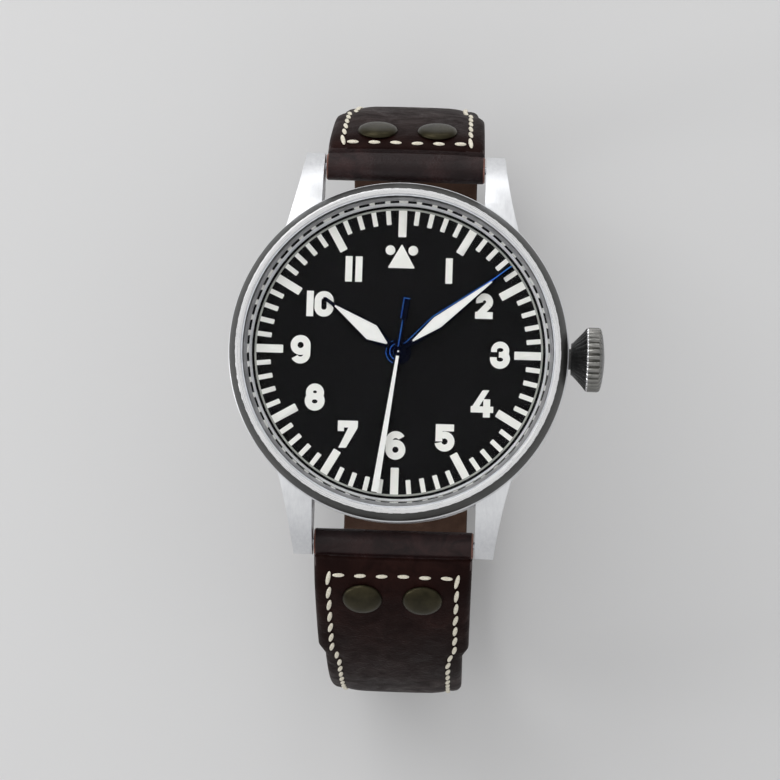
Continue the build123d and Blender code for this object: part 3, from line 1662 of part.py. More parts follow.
# The tongue lies in a notch that is open to the outside, so that it can lift out.
def tongue_notch():
    half = tongue_width / 2 + keeper_slack
    top = tongue_thickness / 2 + keeper_slack
    cut = block(-half, half, -tongue_length - keeper_slack, 0, -buckle_front_depth, top)
    return Pos(0, buckle_bar_y, buckle_bar_z) * Rot(tongue_fall, 0, 0) * cut


def buckle_frame():
    buckle_front_y = buckle_bar_y - buckle_front_lead
    front_low = buckle_front_y - buckle_front_depth / 2
    front_high = buckle_front_y + buckle_front_depth / 2
    outer = buckle_inner_half + buckle_arm
    front = block(-outer, outer, front_low, front_high, keeper_bottom_z, front_top_z)
    front = fillet(front.edges().filter_by(Axis.X), buckle_front_break)
    arm_side = flat(
        (front_low, front_top_z - buckle_front_break), (front_low, keeper_bottom_z + buckle_front_break),
        (front_low + buckle_front_break, keeper_bottom_z), (front_high, keeper_bottom_z),
        (buckle_bar_y, buckle_bar_z - buckle_eye_radius), (buckle_bar_y, buckle_bar_z + buckle_eye_radius),
        (front_high, front_top_z), (front_low + buckle_front_break, front_top_z),
    )
    arm = extrude(Plane.YZ * arm_side, buckle_arm)
    arm += rod_along_x(buckle_eye_radius, 0, buckle_arm, buckle_bar_y, buckle_bar_z)
    body = front + Pos(buckle_inner_half, 0, 0) * arm + Pos(-outer, 0, 0) * arm
    body -= rod_along_x(buckle_bar_radius, -outer - cut_over, outer + cut_over, buckle_bar_y, buckle_bar_z)
    return body - tongue_notch()


def buckle_bar():
    reach = buckle_inner_half + buckle_arm
    return rod_along_x(buckle_bar_radius, -reach, reach, buckle_bar_y, buckle_bar_z)


def buckle_tongue():
    half = tongue_width / 2
    body = tongue_blade() + rod_along_x(tongue_eye_radius, -half, half, buckle_bar_y, buckle_bar_z)
    return body - rod_along_x(buckle_bar_radius + turn_gap, -tongue_width, tongue_width,
                              buckle_bar_y, buckle_bar_z)


def keeper(start_y, lift):
    inner = strap_end_width / 2 + keeper_side_gap
    outer = inner + keeper_wall
    ceiling = strap_floor_z + strap_end_thickness + keeper_slack
    floor_z = keeper_bottom_z + keeper_wall
    end_y = start_y + keeper_length
    body = block(-outer, outer, start_y, end_y, keeper_bottom_z + lift, ceiling + keeper_wall)
    return body - block(-inner, inner, start_y - cut_over, end_y + cut_over, floor_z, ceiling)

nodes = {
    "case_middle": case_middle,
    "bezel": bezel,
    "rehaut_ring": rehaut_ring,
    "crystal": crystal,
    "crystal_gasket": crystal_gasket,
    "caseback": caseback,
    "caseback_gasket": caseback_gasket,
    "crown_tube": crown_tube,
    "crown": crown,
    "crown_gasket": crown_gasket,
    "winding_stem": winding_stem,
    "winding_pinion": winding_pinion,
    "sliding_clutch": sliding_clutch,
    "movement_ring": movement_ring,
    "case_clamps": case_clamps,
    "movement_screws": movement_screws,
    "dial": dial,
    "minute_track": minute_track,
    "numerals": numerals,
    "triangle_marker": triangle_marker,
    "hour_hand": hour_hand,
    "hour_hand_lume": hour_hand_lume,
    "minute_hand": minute_hand,
    "minute_hand_lume": minute_hand_lume,
    "seconds_hand": seconds_hand,
    "seconds_hand_lume": seconds_hand_lume,
    "mainplate": mainplate,
    "barrel_bridge": barrel_bridge,
    "train_bridge": train_bridge,
    "balance_cock": balance_cock,
    "jewels": jewels,
    "mainspring_barrel": mainspring_barrel,
    "mainspring": mainspring,
    "barrel_arbor": barrel_arbor,
    "center_wheel": center_wheel,
    "third_wheel": third_wheel,
    "fourth_wheel": fourth_wheel,
    "escape_wheel": escape_wheel,
    "pallet_fork": pallet_fork,
    "balance_wheel": balance_wheel,
    "hairspring": hairspring,
    "cannon_pinion": cannon_pinion,
    "minute_wheel": minute_wheel,
    "hour_wheel": hour_wheel,
    "ratchet_wheel": ratchet_wheel,
    "crown_wheel": crown_wheel,
    "rotor": rotor,
    "rotor_bearing": rotor_bearing,
    "spring_bar_12": lambda: spring_bar(1),
    "spring_bar_6": lambda: spring_bar(-1),
    "strap_short": strap_short,
    "strap_long": strap_long,
    "strap_lining": strap_lining,
    "strap_rivets": strap_rivets,
    "buckle_frame": buckle_frame,
    "buckle_bar": buckle_bar,
    "buckle_tongue": buckle_tongue,
    "keeper_fixed": lambda: keeper(buckle_bar_y + fixed_keeper_lead, 0),
    "keeper_free": lambda: keeper(buckle_bar_y + free_keeper_lead, free_keeper_lift),
}

os.makedirs("parts", exist_ok=True)
for name, build in nodes.items():
    export_step(build(), os.path.join("parts", name + ".step"))
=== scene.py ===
import bpy
import bmesh
import json
import math
import random
from mathutils import Matrix, Vector, noise

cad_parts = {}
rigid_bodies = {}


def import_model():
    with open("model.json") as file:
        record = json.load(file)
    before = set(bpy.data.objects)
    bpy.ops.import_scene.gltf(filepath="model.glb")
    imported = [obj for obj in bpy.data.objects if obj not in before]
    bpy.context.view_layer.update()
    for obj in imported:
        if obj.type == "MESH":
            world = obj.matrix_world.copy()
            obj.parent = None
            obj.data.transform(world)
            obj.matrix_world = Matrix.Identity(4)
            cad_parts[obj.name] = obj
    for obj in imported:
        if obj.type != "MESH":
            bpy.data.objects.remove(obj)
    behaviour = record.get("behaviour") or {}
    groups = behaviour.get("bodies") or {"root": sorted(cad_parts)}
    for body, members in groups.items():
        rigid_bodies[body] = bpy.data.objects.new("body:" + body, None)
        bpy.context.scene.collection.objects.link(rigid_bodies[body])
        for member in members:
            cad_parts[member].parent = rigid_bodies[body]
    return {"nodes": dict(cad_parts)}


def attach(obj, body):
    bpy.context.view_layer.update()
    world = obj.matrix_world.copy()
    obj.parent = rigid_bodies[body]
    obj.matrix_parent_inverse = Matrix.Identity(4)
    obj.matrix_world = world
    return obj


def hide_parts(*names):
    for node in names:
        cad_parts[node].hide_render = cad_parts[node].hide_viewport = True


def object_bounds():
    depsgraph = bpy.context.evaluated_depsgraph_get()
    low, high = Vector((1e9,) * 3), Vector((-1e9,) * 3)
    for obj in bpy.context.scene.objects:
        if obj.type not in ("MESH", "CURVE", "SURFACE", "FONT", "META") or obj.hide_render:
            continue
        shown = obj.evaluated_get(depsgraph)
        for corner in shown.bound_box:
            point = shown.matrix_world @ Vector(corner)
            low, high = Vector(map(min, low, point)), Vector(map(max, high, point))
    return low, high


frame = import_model()
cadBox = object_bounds()
nodes = frame["nodes"]
mm = 0.001
fullTurn = 2 * math.pi
print("frame loaded,", len(nodes), "nodes")


# nodes and materials

def addNode(tree, kind, values=None, **settings):
    made = tree.nodes.new(kind)
    for key, value in settings.items():
        setattr(made, key, value)
    for key, value in (values or {}).items():
        made.inputs[key].default_value = value
    return made


def startGroup(name, values, outputs):
    # a group with a Vector input, further inputs with their first values, and plain number outputs
    group = bpy.data.node_groups.new(name, "ShaderNodeTree")
    group.interface.new_socket("Vector", in_out="INPUT", socket_type="NodeSocketVector")
    for label, value in values.items():
        kind = "NodeSocketVector" if isinstance(value, tuple) else "NodeSocketFloat"
        group.interface.new_socket(label, in_out="INPUT", socket_type=kind).default_value = value
    for label in outputs:
        group.interface.new_socket(label, in_out="OUTPUT", socket_type="NodeSocketFloat")
    return group, group.nodes.new("NodeGroupInput"), group.nodes.new("NodeGroupOutput")


def mathNode(tree, operation, a, b=None):
    made = addNode(tree, "ShaderNodeMath", operation=operation)
    for socket, value in zip(made.inputs, (a, b)):
        if value is None:
            continue
        if isinstance(value, (int, float)):
            socket.default_value = value
        else:
            tree.links.new(value, socket)
    return made.outputs[0]


def spread(tree, value, low, high, outLow=0.0, outHigh=1.0):
    values = {"From Min": low, "From Max": high, "To Min": outLow, "To Max": outHigh}
    made = addNode(tree, "ShaderNodeMapRange", values)
    tree.links.new(value, made.inputs["Value"])
    return made.outputs[0]


def feedScales(tree, inp, scales):
    # each texture gets the group's vector and the input that holds its scale
    for made, label in scales:
        tree.links.new(inp.outputs["Vector"], made.inputs["Vector"])
        tree.links.new(inp.outputs[label], made.inputs["Scale"])


def fineGrainGroup():
    # two sizes of noise: a soft mottle and a fine grit
    values = {"Mottle Scale": 300.0, "Grit Scale": 6000.0}
    tree, inp, out = startGroup("fineGrain", values, ["Mottle", "Grit", "Height"])
    mottle = addNode(tree, "ShaderNodeTexNoise", {"Detail": 3.0, "Roughness": 0.55})
    grit = addNode(tree, "ShaderNodeTexNoise", {"Detail": 2.0, "Roughness": 0.6})
    feedScales(tree, inp, ((mottle, "Mottle Scale"), (grit, "Grit Scale")))
    tree.links.new(spread(tree, mottle.outputs["Fac"], 0.3, 0.7), out.inputs["Mottle"])
    tree.links.new(spread(tree, grit.outputs["Fac"], 0.3, 0.7), out.inputs["Grit"])
    tree.links.new(mathNode(tree, "ADD", mottle.outputs["Fac"], grit.outputs["Fac"]), out.inputs["Height"])
    return tree


def brushedGroup():
    # noise drawn out along one axis of its vector: fine parallel lines
    tree, inp, out = startGroup("brushedLines", {"Across": (4000.0, 60.0, 60.0)}, ["Lines", "Height"])
    stretch = addNode(tree, "ShaderNodeVectorMath", operation="MULTIPLY")
    tree.links.new(inp.outputs["Vector"], stretch.inputs[0])
    tree.links.new(inp.outputs["Across"], stretch.inputs[1])
    lines = addNode(tree, "ShaderNodeTexNoise", {"Scale": 1.0, "Detail": 4.0, "Roughness": 0.7})
    tree.links.new(stretch.outputs[0], lines.inputs["Vector"])
    tree.links.new(spread(tree, lines.outputs["Fac"], 0.25, 0.75), out.inputs["Lines"])
    tree.links.new(lines.outputs["Fac"], out.inputs["Height"])
    return tree


def roundCoordsGroup():
    # radius, angle and height about +Z, for lines left by turning
    tree, inp, out = startGroup("roundCoords", {}, ["Radius", "Angle", "Rise"])
    split = addNode(tree, "ShaderNodeSeparateXYZ")
    tree.links.new(inp.outputs["Vector"], split.inputs[0])
    x, y, z = split.outputs
    square = mathNode(tree, "ADD", mathNode(tree, "MULTIPLY", x, x), mathNode(tree, "MULTIPLY", y, y))
    tree.links.new(mathNode(tree, "SQRT", square), out.inputs["Radius"])
    tree.links.new(mathNode(tree, "ARCTAN2", y, x), out.inputs["Angle"])
    tree.links.new(z, out.inputs["Rise"])
    return tree


def leatherGroup():
    # pebble cells broken up by noise, with long soft creases and a slow change of colour
    values = {"Pebble Scale": 2600.0, "Crease Scale": 350.0, "Patch Scale": 120.0}
    tree, inp, out = startGroup("leatherGrain", values, ["Crease", "Patch", "Height"])
    cells = addNode(tree, "ShaderNodeTexVoronoi", feature="DISTANCE_TO_EDGE")
    warp = addNode(tree, "ShaderNodeTexNoise", {"Detail": 2.0})
    crease = addNode(tree, "ShaderNodeTexNoise", {"Detail": 5.0, "Roughness": 0.65, "Distortion": 0.6})
    patch = addNode(tree, "ShaderNodeTexNoise", {"Detail": 2.0})
    pebbles = ((cells, "Pebble Scale"), (warp, "Pebble Scale"))
    feedScales(tree, inp, (*pebbles, (crease, "Crease Scale"), (patch, "Patch Scale")))
    pebble = spread(tree, cells.outputs["Distance"], 0.0, 0.25)
    creases = spread(tree, crease.outputs["Fac"], 0.35, 0.65)
    tree.links.new(creases, out.inputs["Crease"])
    tree.links.new(spread(tree, patch.outputs["Fac"], 0.35, 0.65), out.inputs["Patch"])
    low = mathNode(tree, "MULTIPLY", pebble, 0.35)
    mid = mathNode(tree, "MULTIPLY", creases, 0.9)
    grit = mathNode(tree, "MULTIPLY", warp.outputs["Fac"], 0.3)
    tree.links.new(mathNode(tree, "ADD", mathNode(tree, "ADD", low, mid), grit), out.inputs["Height"])
    return tree


groups = {
    "grain": fineGrainGroup(),
    "brushed": brushedGroup(),
    "round": roundCoordsGroup(),
    "leather": leatherGroup(),
}
finishes = {}


def startMaterial(name, base, roughness, metallic=0.0, **extra):
    # a new material, kept in finishes under its name
    material = bpy.data.materials.new(name)
    material.use_nodes = True
    tree = material.node_tree
    shader = tree.nodes["Principled BSDF"]
    shader.inputs["Base Color"].default_value = (*base, 1)
    shader.inputs["Roughness"].default_value = roughness
    shader.inputs["Metallic"].default_value = metallic
    for key, value in extra.items():
        shader.inputs[key.replace("_", " ")].default_value = value
    material.diffuse_color = (*base, 1)
    finishes[name] = material
    return tree, shader


def useGroup(tree, key, vector, values=None):
    made = addNode(tree, "ShaderNodeGroup", node_tree=groups[key])
    for label, value in (values or {}).items():
        made.inputs[label].default_value = value
    tree.links.new(vector, made.inputs["Vector"])
    return made


def objectVector(tree):
    return addNode(tree, "ShaderNodeTexCoord").outputs["Object"]


def tint(tree, shader, mask, low, high):
    mix = addNode(tree, "ShaderNodeMix", data_type="RGBA")
    mix.inputs["A"].default_value = (*low, 1)
    mix.inputs["B"].default_value = (*high, 1)
    tree.links.new(mask, mix.inputs["Factor"])
    tree.links.new(mix.outputs["Result"], shader.inputs["Base Color"])


def glossOn(tree, shader, mask, low, high):
    tree.links.new(spread(tree, mask, 0, 1, low, high), shader.inputs["Roughness"])


def bumpOn(tree, shader, height, distance):
    bump = addNode(tree, "ShaderNodeBump", {"Distance": distance, "Strength": 1.0})
    tree.links.new(height, bump.inputs["Height"])
    tree.links.new(bump.outputs["Normal"], shader.inputs["Normal"])


def grainFinish(name, low, high, roughness, metallic=0.0, mottle=300.0, grit=6000.0, depth=2e-6,
                swing=0.08, **extra):
    # a plain paint, plastic or metal with a slight mottle, grit and uneven gloss
    tree, shader = startMaterial(name, high, roughness, metallic, **extra)
    grain = useGroup(tree, "grain", objectVector(tree), {"Mottle Scale": mottle, "Grit Scale": grit})
    tint(tree, shader, grain.outputs["Mottle"], low, high)
    glossOn(tree, shader, grain.outputs["Grit"], roughness - swing, roughness + swing)
    bumpOn(tree, shader, grain.outputs["Height"], depth)


def brushedFinish(name, low, high, roughness, across, depth=1.5e-6, swing=0.1, turned=False):
    # metal with fine lines, straight or running round +Z
    tree, shader = startMaterial(name, high, roughness, 1.0)
    vector = objectVector(tree)
    if turned:
        polar = useGroup(tree, "round", vector)
        join = addNode(tree, "ShaderNodeCombineXYZ")
        for label, socket in zip(("Radius", "Angle", "Rise"), join.inputs):
            tree.links.new(polar.outputs[label], socket)
        vector = join.outputs[0]
    lines = useGroup(tree, "brushed", vector, {"Across": across})
    tint(tree, shader, lines.outputs["Lines"], low, high)
    glossOn(tree, shader, lines.outputs["Lines"], roughness - swing, roughness + swing)
    bumpOn(tree, shader, lines.outputs["Height"], depth)


def leatherFinish(name, low, high, roughness, depth=5e-5, pebble=2600.0, crease=350.0, coat=0.0, gloss=0.3,
                  swing=0.1):
    tree, shader = startMaterial(name, high, roughness, 0.0)
    shader.inputs["Specular IOR Level"].default_value = gloss
    shader.inputs["Coat Weight"].default_value = coat
    shader.inputs["Coat Roughness"].default_value = 0.35
    grain = useGroup(tree, "leather", objectVector(tree), {"Pebble Scale": pebble, "Crease Scale": crease})
    mask = mathNode(tree, "MULTIPLY", grain.outputs["Patch"], grain.outputs["Crease"])
    tint(tree, shader, mask, low, high)
    glossOn(tree, shader, grain.outputs["Crease"], roughness + swing, roughness - swing)
    bumpOn(tree, shader, grain.outputs["Height"], depth)


def crystalFinish():
    # coated sapphire: hardly any reflection
    tree, shader = startMaterial("crystalClear", (1.0, 1.0, 1.0), 0.0, 0.0, Transmission_Weight=1.0,
                                 IOR=1.08)
    grain = useGroup(tree, "grain", objectVector(tree), {"Mottle Scale": 60.0, "Grit Scale": 900.0})
    tint(tree, shader, grain.outputs["Mottle"], (0.985, 0.99, 1.0), (1.0, 1.0, 1.0))


def threadFinish():
    tree, shader = startMaterial("threadCream", (0.75, 0.68, 0.52), 0.8, 0.0)
    wave = addNode(tree, "ShaderNodeTexNoise", {"Scale": 4000.0, "Detail": 3.0, "Roughness": 0.7})
    tree.links.new(objectVector(tree), wave.inputs["Vector"])
    tint(tree, shader, spread(tree, wave.outputs["Fac"], 0.35, 0.65), (0.60, 0.55, 0.43),
         (0.88, 0.84, 0.72))
    bumpOn(tree, shader, wave.outputs["Fac"], 6e-5)


def stripedFinish():
    # ground plates with broad straight stripes
    tree, shader = startMaterial("stripedNickel", (0.62, 0.6, 0.56), 0.3, 1.0)
    vector = objectVector(tree)
    values = {"Scale": 160.0, "Distortion": 0.0}
    stripes = addNode(tree, "ShaderNodeTexWave", values, bands_direction="X", wave_profile="SAW")
    tree.links.new(vector, stripes.inputs["Vector"])
    lines = useGroup(tree, "brushed", vector, {"Across": (300.0, 5000.0, 300.0)})
    broad = mathNode(tree, "MULTIPLY", stripes.outputs["Fac"], 0.7)
    fine = mathNode(tree, "MULTIPLY", lines.outputs["Lines"], 0.3)
    both = mathNode(tree, "ADD", broad, fine)
    tint(tree, shader, both, (0.42, 0.4, 0.37), (0.72, 0.7, 0.66))
    glossOn(tree, shader, both, 0.22, 0.42)
    bumpOn(tree, shader, both, 4e-6)


brushedFinish("caseSteel", (0.72, 0.73, 0.75), (0.84, 0.85, 0.86), 0.42, (2500.0, 90.0, 2500.0), 1.2e-6)
brushedFinish("bezelSteel", (0.62, 0.62, 0.63), (0.80, 0.80, 0.80), 0.30, (9000.0, 6.0, 9000.0), 1.5e-6,
              turned=True)
# a near-black copy of the bezel steel: painted shade on the bezel's outer flank
brushedFinish("flankSteelPaintedShade", (0.055, 0.055, 0.055), (0.105, 0.105, 0.10), 0.32, (9000.0, 5.0, 9000.0),
              1.5e-6, turned=True)
grainFinish("polishedSteel", (0.66, 0.66, 0.67), (0.76, 0.76, 0.77), 0.07, 1.0, 400.0, 8000.0, 2e-7, 0.03)
# darker copies of the case steel as painted shade: mid grey for the crown's flute band, nearly black for its
# throat cone, its end and the crown tube
grainFinish("crownSteelPaintedShade", (0.17, 0.17, 0.16), (0.30, 0.295, 0.28), 0.2, 1.0, 600.0, 7000.0, 8e-7, 0.07)
grainFinish("throatSteelPaintedShade", (0.045, 0.045, 0.045), (0.09, 0.09, 0.088), 0.3, 1.0, 600.0, 7000.0, 8e-7, 0.07)
crystalFinish()
grainFinish("gasketClear", (0.55, 0.57, 0.60), (0.72, 0.74, 0.77), 0.35, 0.0, 900.0, 9000.0)
grainFinish("gasketBlack", (0.015, 0.015, 0.016), (0.03, 0.03, 0.03), 0.6)
grainFinish("dialBlack", (0.0030, 0.0030, 0.0034), (0.0046, 0.0046, 0.0051), 0.62, 0.0, 260.0, 14000.0,
            3e-6, 0.1, Specular_IOR_Level=0.06)
grainFinish("dialPrint", (0.90, 0.90, 0.84), (0.96, 0.96, 0.91), 0.55, 0.0, 500.0, 9000.0, 4e-6)
grainFinish("lumeFill", (0.92, 0.92, 0.88), (0.98, 0.98, 0.94), 0.6, 0.0, 700.0, 8000.0, 5e-6)
# the outer track line in a dimmed grey: a painted shadow of the bezel, the same all round
grainFinish("trackRimPaintedShade", (0.30, 0.31, 0.28), (0.42, 0.43, 0.39), 0.55, 0.0, 500.0, 9000.0, 4e-6)
# a bright and a nearly black copy of blued steel: painted highlight and painted shade on the hands; the
# bright copy is also the plain colour of the movement screws
grainFinish("bluedSteelAndPaintedHighlight", (0.045, 0.19, 1.0), (0.085, 0.36, 1.0), 0.24, 1.0, 500.0, 9000.0, 5e-7, 0.06)
grainFinish("bluedPaintedShade", (0.0012, 0.0017, 0.006), (0.0023, 0.0038, 0.013), 0.3, 1.0, 500.0, 9000.0, 5e-7,
            0.06)
# painted reflections on the polished rehaut cone: a white band at its foot and a grey band at its top
grainFinish("rehautPaintedReflection", (0.86, 0.87, 0.90), (0.96, 0.97, 0.98), 0.4, 0.0, 500.0, 9000.0, 1e-6)
grainFinish("rehautPaintedDimReflection", (0.30, 0.30, 0.31), (0.40, 0.40, 0.41), 0.4, 0.0, 500.0, 9000.0, 1e-6)
stripedFinish()
grainFinish("giltBrass", (0.62, 0.42, 0.16), (0.80, 0.60, 0.28), 0.25, 1.0)
brushedFinish("movementSteel", (0.42, 0.43, 0.45), (0.60, 0.61, 0.63), 0.3, (4000.0, 200.0, 4000.0))
grainFinish("springSteel", (0.48, 0.49, 0.52), (0.62, 0.63, 0.66), 0.2, 1.0)
brushedFinish("rotorMetal", (0.40, 0.38, 0.35), (0.58, 0.56, 0.52), 0.3, (9000.0, 8.0, 9000.0), turned=True)
grainFinish("ruby", (0.30, 0.01, 0.05), (0.50, 0.02, 0.09), 0.1, 0.0, 900.0, 8000.0, 1e-6, 0.04)
leatherFinish("strapLeather", (0.0085, 0.0028, 0.0023), (0.021, 0.0073, 0.0058), 0.5, gloss=0.05)
# a lighter, glossier copy of the strap leather for the roll: the gloss is real, the lighter colour is painted
# highlight
leatherFinish("rollLeatherPaintedSheen", (0.010, 0.0042, 0.0042), (0.034, 0.0145, 0.014), 0.36, coat=0.05, gloss=0.2)
leatherFinish("edgeLeather", (0.03, 0.016, 0.015), (0.075, 0.046, 0.044), 0.5, 4e-5)
leatherFinish("liningLeather", (0.040, 0.021, 0.014), (0.085, 0.048, 0.033), 0.7, 4e-5, 3200.0, gloss=0.1)
leatherFinish("rawLeather", (0.15, 0.062, 0.048), (0.34, 0.17, 0.13), 0.55, 5e-5, 3000.0, 700.0)
threadFinish()
grainFinish("rivetBronze", (0.020, 0.017, 0.008), (0.048, 0.041, 0.021), 0.36, 0.85, 420.0, 7000.0, 2e-6,
            0.1)
print("finishes made,", len(finishes))


# small makers, all in millimetres until meshFrom

meshSize = {"weld": 1e-4, "merge": 2e-3, "flat": 0.6, "edgeOn": 60, "upright": 62, "rise": 0.03}


def vertsOf(geom):
    return [item for item in geom if isinstance(item, bmesh.types.BMVert)]


def edgesOf(geom):
    return [item for item in geom if isinstance(item, bmesh.types.BMEdge)]


def wire(bm, points):
    # a closed loop
    verts = [bm.verts.new(point) for point in points]
    return verts, [bm.edges.new(pair) for pair in zip(verts, verts[1:] + verts[:1])]


def bothSides(right):
    # the right half of an outline, followed by its mirror image
    return right + [(-x, y) for x, y in reversed(right)]


def spinProfile(points, steps):
    # a closed outline of (radius, height) turned about +Z
    bm = bmesh.new()
    verts, edges = wire(bm, [(r, 0, z) for r, z in points])
    bmesh.ops.spin(bm, geom=verts + edges, cent=(0, 0, 0), axis=(0, 0, 1), angle=fullTurn, steps=steps,
                   use_merge=True)
    bmesh.ops.remove_doubles(bm, verts=bm.verts, dist=meshSize["weld"])
    bmesh.ops.recalc_face_normals(bm, faces=bm.faces)
    return bm


def raiseFaces(bm, faces, height):
    raised = bmesh.ops.extrude_face_region(bm, geom=faces, use_keep_orig=True)["geom"]
    bmesh.ops.translate(bm, verts=vertsOf(raised), vec=(0, 0, height))
    bmesh.ops.recalc_face_normals(bm, faces=bm.faces)


def plate(bm, points, bottom, top):
    # an outline in x and y, raised into a plate
    edges = wire(bm, [(x, y, bottom) for x, y in points])[1]
    raiseFaces(bm, bmesh.ops.contextual_create(bm, geom=edges)["faces"], top - bottom)


def softenEdges(bm, edges, width, segments):
    bmesh.ops.bevel(bm, geom=edges, offset=width, offset_type="OFFSET", affect="EDGES", segments=segments,
                    profile=0.5, material=-1, clamp_overlap=True)


def sharpEdges(bm, degrees):
    limit = math.radians(degrees)
    return [edge for edge in bm.edges if len(edge.link_faces) == 2 and edge.calc_face_angle(0) > limit]


def turnVerts(bm, verts, degrees, axis):
    matrix = Matrix.Rotation(math.radians(degrees), 3, axis)
    bmesh.ops.rotate(bm, verts=verts, cent=(0, 0, 0), matrix=matrix)


def paintFaces(bm, index, chosen):
    for face in bm.faces:
        if chosen(face.calc_center_median()):
            face.material_index = index


def meshFrom(name, bm):
    # the finished shape, brought down to metres
    mesh = bpy.data.meshes.new(name)
    bmesh.ops.scale(bm, verts=bm.verts, vec=(mm, mm, mm))
    bm.normal_update()
    bm.to_mesh(mesh)
    bm.free()
    return mesh


def addObject(name, data):
    made = bpy.data.objects.new(name, data)
    bpy.context.scene.collection.objects.link(made)
    return made


def finishPiece(name, bm, finish, body, replaces=(), extraFinishes=(), flatAbove=35):
    mesh = meshFrom(name, bm)
    for key in (finish, *extraFinishes):
        mesh.materials.append(finishes[key])
    piece = addObject(name, mesh)
    mesh.shade_smooth()
    mesh.set_sharp_from_angle(angle=math.radians(flatAbove))
    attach(piece, body)
    if replaces:
        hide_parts(*replaces)


def cadMesh(node):
    # a CAD node's mesh in millimetres, with its doubles merged
    bm = bmesh.new()
    bm.from_mesh(nodes[node].data)
    bmesh.ops.scale(bm, verts=bm.verts, vec=(1 / mm, 1 / mm, 1 / mm))
    bmesh.ops.remove_doubles(bm, verts=bm.verts, dist=meshSize["merge"])
    return bm


def softCopy(name, node, finish, body, width, segments, degrees):
    # a copy of a CAD node with its edges rounded
    bm = cadMesh(node)
    bmesh.ops.dissolve_limit(bm, angle_limit=math.radians(meshSize["flat"]), verts=bm.verts, edges=bm.edges)
    softenEdges(bm, sharpEdges(bm, degrees), width, segments)
    finishPiece(name, bm, finish, body, (node,))


# case, bezel and crystal

bezelSize = {
    "seat": 19.42, "foot": 8.4, "outer": 20.85, "skirt": 8.85, "rim": 20.0, "top": 10.7, "inner": 19.3,
    "floor": 9.65, "steps": 240, "soft": 0.1,
}


def makeBezel():
    s = bezelSize
    outline = [(s["seat"], s["foot"]), (s["outer"], s["foot"]), (s["outer"], s["skirt"])]
    outline += [(s["rim"], s["top"]), (s["inner"], s["top"]), (s["inner"], s["floor"]),
                (s["seat"], s["floor"])]
    bm = spinProfile(outline, s["steps"])
    # the outer sloping flank is painted in the near-black copy of the steel: painted shade
    paintFaces(bm, 1, lambda centre: centre.xy.length > s["rim"] and centre.z > s["foot"])
    softenEdges(bm, sharpEdges(bm, 15), s["soft"], 3)
    finishPiece("bezelRing", bm, "bezelSteel", "case_body", ("bezel",), ("flankSteelPaintedShade",), 60)


rehautSize = {
    "foot": 18.1, "wall": 19.4, "lip": 18.95, "low": 7.6, "step": 7.7, "top": 9.65, "mirror": (8.35, 8.9),
    "steps": 240,
}


def makeRehaut():
    s = rehautSize
    lean = (s["lip"] - s["foot"]) / (s["top"] - s["step"])
    low, high = s["mirror"]
    outline = [(s["foot"], s["low"]), (s["wall"], s["low"]), (s["wall"], s["top"]), (s["lip"], s["top"])]
    outline += [(s["foot"] + (level - s["step"]) * lean, level) for level in (high, low, s["step"])]
    bm = spinProfile(outline, s["steps"])
    # the polished cone is painted in bands: a white painted reflection low down, a grey painted reflection
    # high up, mirror steel between
    paintFaces(bm, 1, lambda centre: centre.z < low)
    paintFaces(bm, 2, lambda centre: centre.z > high)
    finishPiece("rehautCone", bm, "polishedSteel", "case_body", ("rehaut_ring",),
                ("rehautPaintedReflection", "rehautPaintedDimReflection"))


crystalSize = {
    "radius": 19.1, "floor": 9.65, "edge": 10.8, "crown": 11.75, "rings": 18, "steps": 160,
    "chamfer": 0.22,
}


def makeCrystal():
    s = crystalSize
    rise = s["crown"] - s["edge"]
    dome = (s["radius"] ** 2 + rise ** 2) / (2 * rise)
    points = [(0, s["floor"]), (s["radius"], s["floor"]), (s["radius"], s["edge"] - s["chamfer"])]
    reach = s["radius"] - s["chamfer"]
    for ring in range(s["rings"] + 1):
        r = reach * (1 - ring / s["rings"])
        points.append((r, s["crown"] - dome + math.sqrt(dome ** 2 - r ** 2)))
    bm = spinProfile(points, s["steps"])
    finishPiece("crystalDome", bm, "crystalClear", "case_body", ("crystal",))


makeBezel()
makeRehaut()
makeCrystal()
softCopy("caseBody", "case_middle", "caseSteel", "case_body", 0.16, 3, 22)
softCopy("caseBackPlate", "caseback", "caseSteel", "case_body", 0.08, 2, 20)
print("case made")


# crown

crownSize = {
    "edge": 25.0, "axis": 4.6, "flutes": 30, "around": 8, "depth": 0.34,
    "rings": [
        (23.0, 0.5, 0.0), (23.0, 1.62, 0.0), (21.3, 1.62, 0.0), (21.3, 1.95, 0.0), (21.55, 2.11, 0.0),
        (22.1, 2.67, 0.15), (22.7, 3.31, 0.7), (23.18, 3.9, 0.95), (23.38, 4.0, 1.0), (24.65, 4.0, 1.0),
        (24.88, 3.9, 0.75), (25.0, 3.65, 0.15), (25.2, 2.88, 0.0), (25.36, 1.68, 0.0), (25.45, 0.5, 0.0),
    ],
    "coneEnd": 23.15, "ringEnd": 23.4,
}


